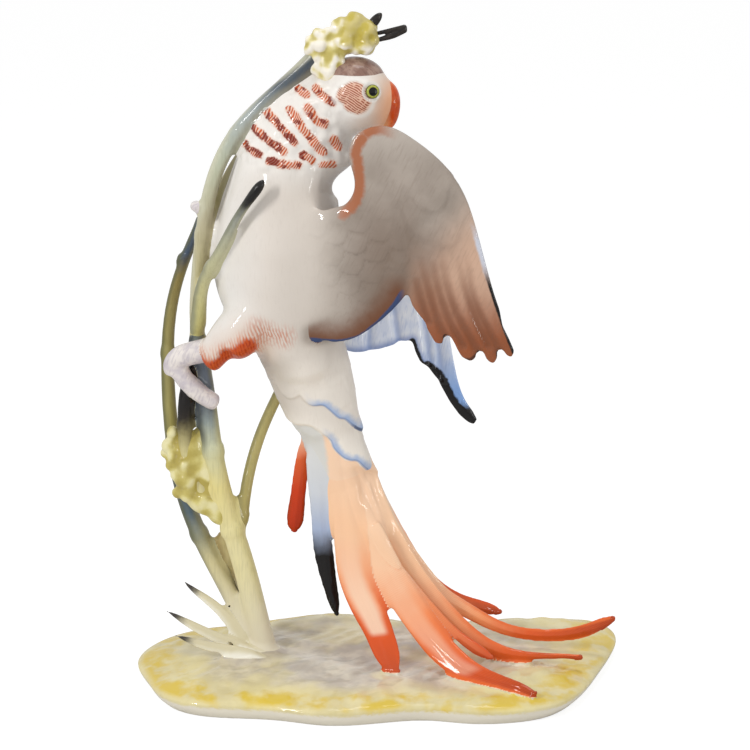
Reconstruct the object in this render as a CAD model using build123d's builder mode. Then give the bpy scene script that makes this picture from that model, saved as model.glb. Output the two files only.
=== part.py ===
"""Porcelain figurine: a long-tailed bird with raised wings, clinging to flowering canes on a rocky base.

The castings are separate solids that meet face to face at their luting seams. Millimetres, +Z up.
The origin is the centre of the base's outline, on the plane that it stands on. +X points along the
tail's sweep and -Y towards the bird's near side.
"""

from build123d import *

import math
import os

# ---------------------------------------------------------------- driving dimensions
# base
base_length = 250.0
base_depth = 145.0
base_height = 14.0  # plane of the flat crown where the canes stand
rim_height = 8.0  # height at which the outline is widest
foot_inset = 4.0  # how far the foot ring sits in from the rim
base_wall = 4.5
vent_radius = 3.0

# canes
cane_radius = 6.2  # main cane at the ground
cane_top_radius = 4.2
rear_cane_radius = 5.2
side_cane_radius = 3.2
fork_radius = 3.6
shoot_radius = 3.4
twig_radius = 3.8
strut_radius = 2.8
node_swell = 1.16  # how much wider a cane is at its growth rings
node_length = 5.0
root_depth = 6.0  # how far a cane's path starts below the crown of the base

# blossom
bloom_radius = 4.6
petal_turn = (35, 25, 15)
bud_radius = 2.5

# grass
grass_half_width = 3.4
grass_thickness = 2.6

# bird
bird_x, bird_y, bird_z = -50.0, 0.0, 224.0  # centre of the belly
belly_half_width = 32.5
belly_half_depth = 30.0
breast_half_width = 25.0
neck_half_width = 20.0
rump_half_width = 22.0
body_wall = 4.0
head_length = 17.5  # half axes of the head
head_height = 18.0
head_depth = 15.0
head_offset = (38.5, -2.0, 77.0)  # from the centre of the belly
eye_radius = 3.4
beak_half_width = 5.0
crest_rise = 1.2  # how far the crest stands above the crown of the head
wing_thickness = 3.2
wing_reach = 60.0  # further out than any part of a wing
thigh_radius = 14.0
shank_radius = 5.4
toe_radius = 3.9
feather_thickness = 3.4
feather_tip = 0.95  # place along a feather where its rounded tip starts
covert_half_width = 20.0

os.makedirs("parts", exist_ok=True)


# ---------------------------------------------------------------- shared shapes
def oval(half_width, half_thickness, corners=10):
    """Closed curve through points on an ellipse, always starting on its +x side."""
    turn = 2 * math.pi / corners
    points = [
        (half_width * math.cos(i * turn), half_thickness * math.sin(i * turn))
        for i in range(corners)
    ]
    Spline(*points, periodic=True)


def smooth_line(path):
    """One smooth curve through the points."""
    with BuildLine(mode=Mode.PRIVATE) as curve:
        Spline(*path)
    return curve.edges()[0]


def section_at(line, place, half_width, half_thickness, across):
    """Oval face square to the line at a place from 0 to 1, its half width along across."""
    tangent = line % place
    side = (across - tangent * across.dot(tangent)).normalized()
    section_plane = Plane(origin=line @ place, x_dir=side, z_dir=tangent)
    with BuildSketch(section_plane, mode=Mode.PRIVATE) as section:
        with BuildLine():
            oval(half_width, half_thickness)
        make_face()
    return section.sketch.faces()[0]


def tapered(line, sections, across=(0, 1, 0), start_tip=False, end_tip=False):
    """Loft of ovals along a smooth line.

    Each section is (place along the line, half width along across, half thickness).
    A tip closes that end in a point instead of a flat face.
    """
    faces = [section_at(line, *section, Vector(across)) for section in sections]
    start = [Vertex(*(line @ 0))] if start_tip else []
    end = [Vertex(*(line @ 1))] if end_tip else []
    with BuildPart(mode=Mode.PRIVATE) as made:
        loft(sections=[*start, *faces, *end])
    return made.part


def cane(path, foot_radius, top_radius, nodes=(), end_tip=False, steps=7):
    """Round tapering cane with a raised growth ring at each of the given places."""
    line = smooth_line(path)
    last = 0.97 if end_tip else 1.0

    def radius_at(place):
        return foot_radius + (top_radius - foot_radius) * place

    places = [last * i / steps for i in range(steps + 1)]
    sections = [(place, radius_at(place), radius_at(place)) for place in places]
    with BuildPart(mode=Mode.PRIVATE) as made:
        add(tapered(line, sections, end_tip=end_tip))
        for place in nodes:
            with Locations(Plane(origin=line @ place, z_dir=line % place)):
                Cylinder(node_swell * radius_at(place), node_length)
    return made.part


def seated(piece, *neighbours):
    """The piece cut back to the outer faces of the neighbours that it is luted to."""
    with BuildPart(mode=Mode.PRIVATE) as made:
        add(piece)
        for neighbour in neighbours:
            add(neighbour.part, mode=Mode.SUBTRACT)
    return made.part.solids().sort_by(SortBy.VOLUME)[-1]


def ball(centre, radius, turn=(0, 0, 0)):
    """Solid ball on its own, turned so that its poles and seam lie where nothing else meets them."""
    with BuildPart(mode=Mode.PRIVATE) as made:
        with Locations(centre):
            Sphere(radius, rotation=turn)
    return made.part


def write(label, piece):
    """Labels a finished casting and writes it as a node of its own."""
    piece.part.label = label
    export_step(piece.part, f"parts/{label}.step")


def from_bird(*offsets):
    """Points given from the centre of the bird's belly, in the object's frame."""
    return [(bird_x + x, bird_y + y, bird_z + z) for x, y, z in offsets]


def from_crown(*offsets):
    """Points given from the flat crown of the base, in the object's frame."""
    return [(x, y, base_height + z) for x, y, z in offsets]


def on_head(*shares):
    """Points given as shares of the head's half axes, from its centre."""
    x, y, z = head_offset
    return from_bird(
        *[(x + u * head_length, y + v * head_depth, z + w * head_height) for u, v, w in shares]
    )


def even(*sizes, end=1.0):
    """Places spread evenly along a line, each with its pair of half sizes."""
    return [(end * i / (len(sizes) - 1), *pair) for i, pair in enumerate(sizes)]


def ovoid(start, end, half_width, half_thickness, across=(0, 1, 0), steps=6):
    """Egg-smooth solid between two poles."""
    angles = [math.pi * i / steps for i in range(1, steps)]
    sections = [
        ((1 - math.cos(angle)) / 2, half_width * math.sin(angle), half_thickness * math.sin(angle))
        for angle in angles
    ]
    return tapered(smooth_line([start, end]), sections, across, start_tip=True, end_tip=True)


def feather(path, half_widths, across=(0, -1, 0.35)):
    """Flat feather with its blade along the path and its face turned towards the across direction."""
    sections = even(*[(feather_thickness / 2, width) for width in half_widths], end=feather_tip)
    return tapered(smooth_line(path), sections, across, end_tip=True)


def joined(*pieces):
    """One casting made of several shapes that run into each other."""
    with BuildPart(mode=Mode.PRIVATE) as made:
        for piece in pieces:
            add(piece)
    return made.part


def cluster(centres):
    """Rounded petals in one lump: each has a centre from the bird's belly and a share of the radius."""
    return joined(
        *[ball(from_bird(offset)[0], share * bloom_radius, petal_turn) for *offset, share in centres]
    )


def curved_sheet(levels, side):
    """Bent sheet through rows of (x, y) points, each row at its own height above the belly's centre.

    The y values are distances out from the bird's middle plane, on the side given as -1 or +1.
    """
    rows = []
    for height, row in levels:
        with BuildSketch(Plane(origin=(bird_x, bird_y, bird_z + height)), mode=Mode.PRIVATE) as section:
            with BuildLine():
                outer = Spline(*[(x, side * y) for x, y in row])
                inner = Spline(*[(x, side * (y - wing_thickness)) for x, y in row])
                Line(outer @ 0, inner @ 0)
                Line(outer @ 1, inner @ 1)
            make_face()
        rows.append(section.sketch.faces()[0])
    with BuildPart(mode=Mode.PRIVATE) as made:
        loft(sections=rows)
    return made.part


def wing(outline, levels, side):
    """Wing with the given outline, seen square from the side, cut from a bent sheet."""
    smooth_edge, tips, lower_edge = outline
    plane = Plane(origin=(bird_x, bird_y, bird_z), x_dir=(1, 0, 0), z_dir=(0, -1, 0))
    with BuildPart(mode=Mode.PRIVATE) as made:
        with BuildSketch(plane):
            with BuildLine():
                Spline(*smooth_edge)
                Polyline(*tips)
                Spline(*lower_edge)
            make_face()
        extrude(amount=-side * wing_reach)
        add(curved_sheet(levels, side), mode=Mode.INTERSECT)
    return made.part


# ---------------------------------------------------------------- base
# rim outline as shares of half the length and half the depth
rim_outline = [
    (-1.0, 0.03), (-0.96, 0.33), (-0.85, 0.57), (-0.64, 0.74), (-0.4, 0.91), (-0.2, 0.995),
    (0.14, 0.8), (0.5, 0.86), (0.76, 0.87), (0.94, 0.83), (0.998, 0.63), (0.98, 0.3),
    (0.9, -0.14), (0.81, -0.55), (0.69, -0.83), (0.53, -0.94), (0.36, -0.95), (0.2, -0.89),
    (0.05, -0.92), (-0.1, -0.98), (-0.24, -0.985), (-0.4, -0.9), (-0.58, -0.85),
    (-0.73, -0.81), (-0.85, -0.69), (-0.94, -0.36),
]  # fmt: skip
foot_share = 1 - 2 * foot_inset / base_depth
hollow_share = foot_share - 2 * base_wall / base_depth
shoulder = base_height - rim_height


def base_level(height, share):
    """Face inside the rim outline drawn at a share of its full size."""
    with BuildSketch(Plane.XY.offset(height), mode=Mode.PRIVATE) as level:
        with BuildLine():
            Spline(
                *[(share * x * base_length / 2, share * y * base_depth / 2) for x, y in rim_outline],
                periodic=True,
            )
        make_face()
    return level.sketch.faces()[0]


def base_shell(*levels):
    """Solid through levels of the rim outline, each a height and a share of the full size."""
    with BuildPart(mode=Mode.PRIVATE) as made:
        loft(sections=[base_level(*level) for level in levels], ruled=True)
    return made.part


with BuildPart() as base_skin:
    add(
        base_shell(
            (0, foot_share),
            (0.5 * rim_height, foot_share + 0.7 * (1 - foot_share)),
            (rim_height, 1.0),
            (rim_height + 0.35 * shoulder, 0.97),
            (rim_height + 0.65 * shoulder, 0.89),
            (rim_height + 0.88 * shoulder, 0.76),
            (base_height, 0.58),
        )
    )

with BuildPart() as base:
    add(base_skin.part)
    add(
        base_shell(
            (-1, hollow_share),
            (base_height - base_wall - 0.35 * shoulder, hollow_share),
            (base_height - base_wall, 0.58),
        ),
        mode=Mode.SUBTRACT,
    )
write("base", base)

# ---------------------------------------------------------------- bird's body
spine_line = smooth_line(
    from_bird(
        (14, 2, -62), (10, 1, -46), (3, 0, -24), (0, 0, 0), (2, 0, 24), (7, 0, 44), (15, 0, 60), (29, -1, 73)
    )
)
spine_sections = [
    (0.0, 0.62 * belly_half_depth, rump_half_width - 4),
    (0.14, 0.8 * belly_half_depth, rump_half_width + 1),
    (0.29, 0.94 * belly_half_depth, belly_half_width - 1.5),
    (0.43, belly_half_depth, belly_half_width),
    (0.58, 0.92 * belly_half_depth, belly_half_width - 4),
    (0.72, 0.8 * belly_half_depth, breast_half_width + 1),
    (0.86, 0.68 * belly_half_depth, breast_half_width - 1.5),
    (1.0, 0.47 * belly_half_depth, neck_half_width - 2.5),
]
hollow_sections = [(place, y - body_wall, xz - body_wall) for place, y, xz in spine_sections[1:-1]]

with BuildPart() as torso_skin:
    add(tapered(spine_line, spine_sections))

with BuildPart() as torso:
    add(torso_skin.part)
    add(tapered(spine_line, hollow_sections), mode=Mode.SUBTRACT)
    with Locations(Plane(origin=from_bird((0, 0, -34))[0], z_dir=(0, 1, 0))):
        Cylinder(
            vent_radius,
            2 * belly_half_depth,
            align=(Align.CENTER, Align.CENTER, Align.MIN),
            mode=Mode.SUBTRACT,
        )
write("torso", torso)

# ---------------------------------------------------------------- head
with BuildPart() as head_skin:
    add(ovoid(*on_head((-1, 0, 0.0), (1, 0, -0.06)), head_depth, head_height))

with BuildPart() as head:
    add(seated(head_skin.part, torso_skin))
write("head", head)

with BuildPart() as crest:
    cap_ends = on_head((-0.8, 0, 0.57), (0.8, 0, 0.4))
    add(seated(ovoid(*cap_ends, 0.8 * head_depth, 0.5 * head_height + crest_rise), head_skin, torso_skin))
write("crest", crest)

for side, label in ((-1, "near_eye"), (1, "far_eye")):
    with BuildPart() as eye:
        add(seated(ball(on_head((0.42, side * 0.82, 0.2))[0], eye_radius), head_skin))
    write(label, eye)

with BuildPart() as upper_beak:
    beak_line = smooth_line(
        on_head((0.7, 0, 0.35), (0.92, 0, 0.15), (1.0, 0, -0.2), (0.96, 0, -0.6), (0.78, 0, -1.0))
    )
    beak_sections = even(
        (0.6 * beak_half_width, 2.8),
        (beak_half_width, 3.8),
        (beak_half_width, 3.8),
        (0.7 * beak_half_width, 3),
        end=0.8,
    )
    add(seated(tapered(beak_line, beak_sections, end_tip=True), head_skin, torso_skin, crest))
write("upper_beak", upper_beak)

with BuildPart() as lower_beak:
    lower_beak_line = smooth_line(on_head((0.45, 0, -0.5), (0.6, 0, -0.8), (0.6, 0, -1.15)))
    lower_beak_sections = even((0.8 * beak_half_width, 3.4), (0.7 * beak_half_width, 2.8), end=0.5)
    lower_beak_shape = tapered(lower_beak_line, lower_beak_sections, end_tip=True)
    add(seated(lower_beak_shape, head_skin, torso_skin, upper_beak))
write("lower_beak", lower_beak)

# ---------------------------------------------------------------- canes
with BuildPart() as lower_cane:
    lower_path = [
        *from_crown((-56, 2, -root_depth), (-62, 1, 14), (-65, 0, 28)),
        *from_bird((-20, 0, -161), (-31, 0, -121), (-37, 0, -79), (-41, 0, -43)),
    ]
    lower_shape = cane(lower_path, cane_radius, cane_top_radius + 0.6, nodes=(0.42, 0.66))
    add(seated(lower_shape, base_skin))
write("lower_cane", lower_cane)

with BuildPart() as upper_cane:
    upper_path = from_bird(
        (-41, 0, -50), (-41, -1, -25), (-37, -3, 11), (-33, -4, 31), (-25, -4, 51), (-14, -4, 65),
        (0, -3, 80), (11, -3, 89), (23, -3, 97), (33, -4, 104),
    )  # fmt: skip
    upper_shape = cane(upper_path, cane_top_radius - 0.8, cane_top_radius, nodes=(0.32, 0.62))
    add(seated(upper_shape, lower_cane, torso_skin, head_skin, crest))
write("upper_cane", upper_cane)

with BuildPart() as rear_cane:
    rear_path = [
        *from_crown((-63, 4, -root_depth), (-70, 6, 15)),
        *from_bird(
            (-39, 11, -158), (-53, 12, -116), (-57, 13, -69), (-56, 14, -41), (-52, 15, -21), (-47, 14, -3),
            (-39, 11, 14),
        ),
    ]  # fmt: skip
    rear_shape = cane(rear_path, rear_cane_radius, rear_cane_radius - 2.6, nodes=(0.3, 0.5, 0.7, 0.9))
    add(seated(rear_shape, base_skin, lower_cane, upper_cane))
write("rear_cane", rear_cane)

with BuildPart() as root_shoot:
    shoot_path = [
        *from_crown((-68, 11, -root_depth), (-71, 12, 18)),
        *from_bird((-24, 13, -181), (-27, 13, -167), (-31, 12, -149)),
    ]
    shoot_shape = cane(shoot_path, shoot_radius, shoot_radius, nodes=(0.8,), end_tip=True)
    add(seated(shoot_shape, base_skin, lower_cane, rear_cane))
write("root_shoot", root_shoot)

with BuildPart() as fork_cane:
    fork_path = from_bird(
        (-40, 0, -56), (-46, -3, -69), (-48, -2, -92), (-47, -1, -107), (-42, 0, -121), (-33, 0, -132),
        (-24, 0, -139),
    )  # fmt: skip
    fork_shape = cane(fork_path, fork_radius, fork_radius, nodes=(0.38,))
    add(seated(fork_shape, lower_cane, upper_cane, rear_cane))
write("fork_cane", fork_cane)

with BuildPart() as side_cane:
    side_path = from_bird(
        (-25, 0, -152), (-20, 2, -139), (-18, 5, -125), (-16, 8, -115), (-10, 13, -96), (-1, 14, -76),
        (6, 10, -60),
    )  # fmt: skip
    side_shape = cane(side_path, side_cane_radius, side_cane_radius - 0.4, nodes=(0.15,))
    add(seated(side_shape, lower_cane, torso_skin))
write("side_cane", side_cane)

with BuildPart() as front_twig:
    twig_path = from_bird(
        (-41.5, -2, -41), (-39, -6.4, -27), (-37, -11, -15), (-32, -18, -4), (-26, -24, 7), (-20, -28, 19),
        (-14, -31, 29), (-5, -32, 41),
    )  # fmt: skip
    twig_shape = cane(twig_path, twig_radius, twig_radius - 1.8, nodes=(0.42,), end_tip=True)
    add(seated(twig_shape, lower_cane, upper_cane, torso_skin))
write("front_twig", front_twig)

with BuildPart() as breast_strut:
    strut_path = from_bird((-36, -1, 2), (-32, 4, 18), (-28, 6, 29), (-23, 6, 39), (-12, 3, 54))
    strut_shape = cane(strut_path, strut_radius, strut_radius)
    add(seated(strut_shape, upper_cane, rear_cane, torso_skin))
write("breast_strut", breast_strut)

# ---------------------------------------------------------------- legs
with BuildPart() as near_thigh:
    near_thigh_line = smooth_line(from_bird((0, -7, -20), (-12, -15, -31), (-22, -17, -40), (-34, -15, -50)))
    near_thigh_sections = even(
        (0.9 * thigh_radius, thigh_radius),
        (0.95 * thigh_radius, thigh_radius),
        (0.8 * thigh_radius, 0.85 * thigh_radius),
        (shank_radius + 1, shank_radius + 1.5),
    )
    add(seated(tapered(near_thigh_line, near_thigh_sections), torso_skin, lower_cane, upper_cane))
write("near_thigh", near_thigh)

with BuildPart() as near_foot:
    near_shank = cane(
        from_bird((-28, -15, -45), (-37, -13, -48), (-44, -11, -50), (-50, -9, -53), (-52, -7, -60)),
        shank_radius,
        shank_radius - 0.8,
        end_tip=True,
    )
    near_toe = cane(
        from_bird((-51, -8, -54), (-48, -9, -62), (-43, -9, -68), (-37, -8, -73), (-32, -7, -76)),
        toe_radius,
        toe_radius - 0.4,
        end_tip=True,
    )
    near_perches = [near_thigh, torso_skin, lower_cane, upper_cane, fork_cane, rear_cane, front_twig]
    add(seated(joined(near_shank, near_toe), *near_perches))
write("near_foot", near_foot)

with BuildPart() as far_thigh:
    far_thigh_line = smooth_line(from_bird((4, 6, -10), (-6, 16, -8), (-15, 20, -2), (-24, 20, 4)))
    far_thigh_sections = even(
        (0.8 * thigh_radius, 0.8 * thigh_radius),
        (0.9 * thigh_radius, 0.95 * thigh_radius),
        (0.8 * thigh_radius, 0.8 * thigh_radius),
        (shank_radius + 0.8, shank_radius + 0.8),
    )
    add(seated(tapered(far_thigh_line, far_thigh_sections), torso_skin, upper_cane, rear_cane))
write("far_thigh", far_thigh)

with BuildPart() as far_foot:
    far_shank = cane(
        from_bird((-22, 20, 3), (-28, 18, 9), (-33, 14, 15), (-37, 8, 20)),
        shank_radius - 1,
        shank_radius - 1.6,
        end_tip=True,
    )
    far_toe = cane(
        from_bird((-33, 13, 15), (-38, 8, 20), (-41, 1, 22), (-39, -6, 22)),
        toe_radius - 0.6,
        toe_radius - 1.6,
        end_tip=True,
    )
    add(seated(joined(far_shank, far_toe), far_thigh, torso_skin, upper_cane, rear_cane, front_twig))
write("far_foot", far_foot)

# ---------------------------------------------------------------- wings
# each outline is (smooth edge from the root to the first tip, feather tips, lower edge back to the root)
near_outline = (
    [
        (8, 25), (26, 27), (33, 29), (37, 34), (37.5, 41), (35, 51), (37, 60), (44, 65), (54, 66),
        (64, 61.5), (78, 51), (89, 37), (95.5, 20), (101, 0), (107.5, -21),
    ],
    [
        (107.5, -21), (109, -29), (112, -35), (115, -42), (113.5, -45.5), (110, -45), (107.5, -43),
        (107.3, -47), (105, -49), (101, -47), (98, -45), (97.3, -47), (94, -47.5), (89.5, -45),
        (83.5, -35.5), (82.3, -39), (80, -40.4), (76.5, -38), (70, -26), (65.5, -19), (63.5, -12),
    ],
    [
        (63.5, -12), (58.6, -18), (52, -25.5), (45, -32), (37.5, -37.5), (28, -40.5), (15, -40), (6, -32),
        (8, 25),
    ],
)  # fmt: skip
near_levels = [
    (74, [(0, 18), (30, 26), (60, 30), (90, 32), (122, 32)]),
    (30, [(0, 20), (30, 31), (60, 38), (90, 41), (122, 40)]),
    (-14, [(0, 20), (30, 31), (60, 40), (90, 43), (122, 42)]),
    (-58, [(0, 16), (30, 24), (60, 33), (90, 38), (122, 38)]),
]
far_outline = (
    [
        (8, 0), (20, 4), (32, 5), (44, 16), (58, 22), (72, 16), (82, -2), (85, -24), (85.5, -48),
        (88.5, -68), (93, -84), (98, -92),
    ],
    [
        (98, -92), (100.3, -96.5), (98.7, -99.2), (95.6, -98), (91, -94), (86, -87), (80, -76),
        (75.5, -69.5), (70.5, -65.5), (68, -60), (66.5, -54),
    ],
    [(66.5, -54), (60, -55.5), (45, -58.5), (35, -58), (25, -52), (12, -40), (8, 0)],
)  # fmt: skip
far_levels = [
    (30, [(0, 20), (30, 31), (60, 38), (90, 41), (110, 41)]),
    (-16, [(0, 20), (30, 31), (60, 40), (90, 43), (110, 43)]),
    (-62, [(0, 16), (30, 26), (60, 36), (90, 41), (110, 41)]),
    (-108, [(0, 12), (30, 22), (60, 32), (90, 38), (110, 38)]),
]

with BuildPart() as near_wing:
    near_neighbours = [torso_skin, head_skin, upper_beak, lower_beak, near_thigh]
    add(seated(wing(near_outline, near_levels, -1), *near_neighbours))
write("near_wing", near_wing)

with BuildPart() as far_wing:
    add(seated(wing(far_outline, far_levels, 1), torso_skin, far_thigh, side_cane))
write("far_wing", far_wing)

# ---------------------------------------------------------------- tail
with BuildPart() as upper_coverts:
    upper_covert_line = smooth_line(from_bird((8, 1, -40), (13, 2, -56), (19, 2, -75), (25, 2, -93)))
    upper_covert_sections = even(
        (0.62 * belly_half_depth, covert_half_width + 2),
        (0.56 * belly_half_depth, covert_half_width + 1),
        (0.44 * belly_half_depth, covert_half_width - 1),
        (0.3 * belly_half_depth, covert_half_width - 6),
    )
    upper_covert_shape = tapered(upper_covert_line, upper_covert_sections)
    add(seated(upper_covert_shape, torso_skin, side_cane, near_wing, far_wing))
write("upper_coverts", upper_coverts)

with BuildPart() as lower_coverts:
    lower_covert_line = smooth_line(from_bird((14, 3, -62), (20, 4, -78), (28, 4, -98), (34.5, 4, -115)))
    lower_covert_sections = even(
        (0.42 * belly_half_depth, covert_half_width - 4),
        (0.38 * belly_half_depth, covert_half_width - 4),
        (0.32 * belly_half_depth, covert_half_width - 6),
        (0.24 * belly_half_depth, covert_half_width - 8),
    )
    lower_covert_shape = tapered(lower_covert_line, lower_covert_sections)
    add(seated(lower_covert_shape, torso_skin, upper_coverts, side_cane, far_wing))
write("lower_coverts", lower_coverts)

# each feather: the stretch given from the bird, the stretch given from the crown, and its half widths
# fmt: off
tail_feathers = {
    "tail_feather_1": (
        [(27, 2, -86), (30.5, 1.5, -111), (33.5, -3, -136)],
        [(-14.5, -7, 57), (-10.5, -13, 39), (-4.5, -18, 27), (1, -24, 15), (6, -30, 4.5), (9.5, -34, 1)],
        (7.5, 7.5, 7.8, 8.2, 8.8, 9.3, 9, 7.6, 5.4),
    ),
    "tail_feather_2": (
        [(32, 4, -92), (36, 3, -119), (44, -2, -144), (53, -9, -161)],
        [(13, -16, 33), (23, -23, 20), (35, -33, 9), (47, -42, 3.5), (60, -50, 1), (78, -60, 0)],
        (9, 9.5, 9.5, 9, 8.5, 8.2, 7.8, 7, 5.6, 3.6),
    ),
    "tail_feather_3": (
        [(35, 7, -98), (42, 6, -121), (53, 3, -146)],
        [(15, 0, 44), (28, -4, 28), (41, -9, 16), (53, -13, 8), (66, -16, 5), (84, -19, 4.5), (104, -22, 5)],
        (7, 8, 8, 7.5, 7, 6.4, 5.8, 5.2, 3.8, 2.2, 1.4),
    ),
    "tail_feather_4": (
        [(36, 8, -98), (42.5, 8, -121), (54.5, 8, -148)],
        [(19, 7, 42), (34.5, 6, 26.5), (51, 5, 17), (67, 4, 10), (85, 4, 7.5), (100, 3, 9), (113, 2, 14),
         (122, 2, 18)],
        (6, 7, 7.5, 7, 6.5, 5.5, 4.6, 4, 3.4, 3.4, 3.6, 3.2),
    ),
    "tail_feather_5": (
        [(36, 10, -98), (44, 10, -121), (54, 12, -143)],
        [(15, 14, 47), (25, 17, 33), (35, 20, 24), (50, 23, 17), (65, 26, 12)],
        (5, 5.5, 5.5, 5.5, 5, 4.4, 3.8, 3),
    ),
    "tail_feather_6": (
        [(47, -5, -140), (60, -10, -163)],
        [(23, -14, 31), (35, -21, 20.5), (46, -27, 13), (58, -32, 7.5)],
        (3, 3.4, 3.4, 3.2, 2.8, 2.2),
    ),
    "grey_feather": (
        [(16, 1, -80), (17, 0, -103), (19, -1, -128), (21, -2, -152), (24, -3, -170), (28.5, -4, -190)],
        [],
        (4, 4.6, 5.2, 5.1, 5, 5.2, 4.2, 2.6),
    ),
    "red_feather": (
        [(15, 5, -78), (12, 6, -98), (10, 7, -115), (8, 8, -131), (6, 8, -149)],
        [],
        (2.4, 2.6, 3.2, 4, 4.3, 3.6),
    ),
}
# fmt: on

tail_pieces = []
for label, (upper, lower, half_widths) in tail_feathers.items():
    with BuildPart() as tail_feather:
        path = [*from_bird(*upper), *from_crown(*lower)]
        neighbours = [torso_skin, upper_coverts, lower_coverts, base_skin, side_cane, *tail_pieces]
        add(seated(feather(path, half_widths), *neighbours))
    write(label, tail_feather)
    tail_pieces.append(tail_feather)

# ---------------------------------------------------------------- blossoms and buds
with BuildPart() as lower_blossom:
    lower_cluster = cluster(
        [
            (-55.6, 2, -96, 0.65), (-58, 2.5, -105, 0.65), (-57, 2, -113, 0.65), (-54, 1, -106, 0.8),
            (-52, 0, -125, 0.7), (-48.5, -1.5, -109, 1.05), (-48, -2, -117, 1.3), (-47, -1.5, -125, 1.0),
            (-44, 3, -106, 1.15), (-43, 3, -117, 1.2), (-41, 1.5, -99, 0.85), (-38.5, 1.5, -108, 1.1),
            (-38, 1, -118, 1.1), (-39, -1, -128, 1.0), (-34.5, -1, -134, 0.85), (-30, -0.5, -138, 0.75),
        ]
    )  # fmt: skip
    add(seated(lower_cluster, lower_cane, rear_cane, fork_cane))
write("lower_blossom", lower_blossom)

with BuildPart() as upper_blossom:
    upper_cluster = cluster(
        [
            (17, -4, 101, 0.9), (23, -5, 105, 0.95), (31, -4, 111, 1.0), (38, -5, 113, 1.1),
            (44, -4, 107, 1.1), (25, -3, 98, 1.2), (33, -4.6, 104, 1.4), (42, -3.4, 101.5, 1.1),
            (26.5, -5.4, 93, 0.9),
        ]
    )  # fmt: skip
    add(seated(upper_cluster, upper_cane, torso_skin, head_skin, crest))
write("upper_blossom", upper_blossom)

buds = {
    "short_bud": [(40, -4, 110), (45, -5, 113.5), (51, -5, 116)],
    "long_bud": [(42, -4, 104.5), (50, -5, 107), (60.5, -5, 110)],
}
for label, path in buds.items():
    with BuildPart() as bud:
        bud_shape = cane(from_bird(*path), bud_radius, bud_radius - 0.3, end_tip=True, steps=4)
        add(seated(bud_shape, upper_blossom))
    write(label, bud)

# ---------------------------------------------------------------- grass
blades = [
    [(-58, -2, -root_depth), (-72, -1, 8), (-81, 1, 21), (-91, 3, 29), (-102, 4, 39)],
    [(-57, -6, -root_depth), (-73, -5, 5), (-85, -4, 10), (-97, -3, 16), (-111, -2, 24)],
    [(-56, -11, -root_depth), (-72, -11, 4), (-86, -12, 7), (-96, -14, 11), (-105, -16, 15)],
]
grown = []
for number, path in enumerate(blades, start=1):
    with BuildPart() as blade:
        blade_sections = even(
            (grass_thickness / 2, grass_half_width),
            (grass_thickness / 2, grass_half_width),
            (grass_thickness / 2, 0.9 * grass_half_width),
            (grass_thickness / 2, 0.6 * grass_half_width),
            end=0.8,
        )
        shape = tapered(smooth_line(from_crown(*path)), blade_sections, (0, -1, 0.4), end_tip=True)
        add(seated(shape, base_skin, lower_cane, rear_cane, root_shoot, *grown))
    write(f"grass_blade_{number}", blade)
    grown.append(blade)
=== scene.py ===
import math

import bmesh
import bpy
import numpy as np
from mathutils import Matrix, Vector, noise
from mathutils.bvhtree import BVHTree


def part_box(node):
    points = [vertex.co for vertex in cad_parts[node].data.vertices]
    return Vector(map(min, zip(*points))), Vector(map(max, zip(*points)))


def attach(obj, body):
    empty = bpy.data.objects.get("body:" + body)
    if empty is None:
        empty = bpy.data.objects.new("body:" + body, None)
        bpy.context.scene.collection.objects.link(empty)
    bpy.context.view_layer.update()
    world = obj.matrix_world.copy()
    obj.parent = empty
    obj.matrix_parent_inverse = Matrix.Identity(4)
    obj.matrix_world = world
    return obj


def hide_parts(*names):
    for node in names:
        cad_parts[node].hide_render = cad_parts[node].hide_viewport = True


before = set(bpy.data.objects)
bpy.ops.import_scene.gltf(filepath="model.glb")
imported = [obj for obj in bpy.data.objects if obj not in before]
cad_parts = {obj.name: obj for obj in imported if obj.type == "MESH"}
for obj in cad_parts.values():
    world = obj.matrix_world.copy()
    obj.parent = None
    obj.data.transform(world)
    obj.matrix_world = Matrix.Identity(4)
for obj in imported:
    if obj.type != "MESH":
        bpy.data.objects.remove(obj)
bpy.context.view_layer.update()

MM = 0.001
VOXEL = 0.75 * MM  # grain of the skin
FINE_VOXEL = 0.4 * MM  # grain of the blossoms and buds
FILL = 0.9 * MM  # half the width of the gaps that slip and glaze fill
CAP_DEPTH = 1.2  # mm, how far under the surface a casting's cut faces lie at most
CAP_SHARE = 0.35  # of the skin's thickness there, at most
MOST_TRIANGLES = 180000


def box(name):
    """Low and high corner of a CAD node's box, as arrays."""
    return [np.array(corner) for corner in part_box(name)]


def spot_in_box(name, along=0.5, up=0.5):
    """Place in a CAD node's box, by shares of its length and its height, at half its depth."""
    low, high = box(name)
    return low + (high - low) * np.array([along, 0.5, up])


torso_low, torso_high = box("torso")
BELLY = np.array([torso_low[0] + 32.5 * MM, (torso_low[1] + torso_high[1]) / 2, torso_low[2] + 65.1 * MM])
VENT = (0.0, -34.0)  # place of the vent hole in the far side of the torso
VENT_RADIUS = 3.0
PLUG_RADIUS = (VENT_RADIUS + 1) * MM
PLUG_DEPTH = 3 * MM  # from the torso's surface to the middle of the vent's plug

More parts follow.
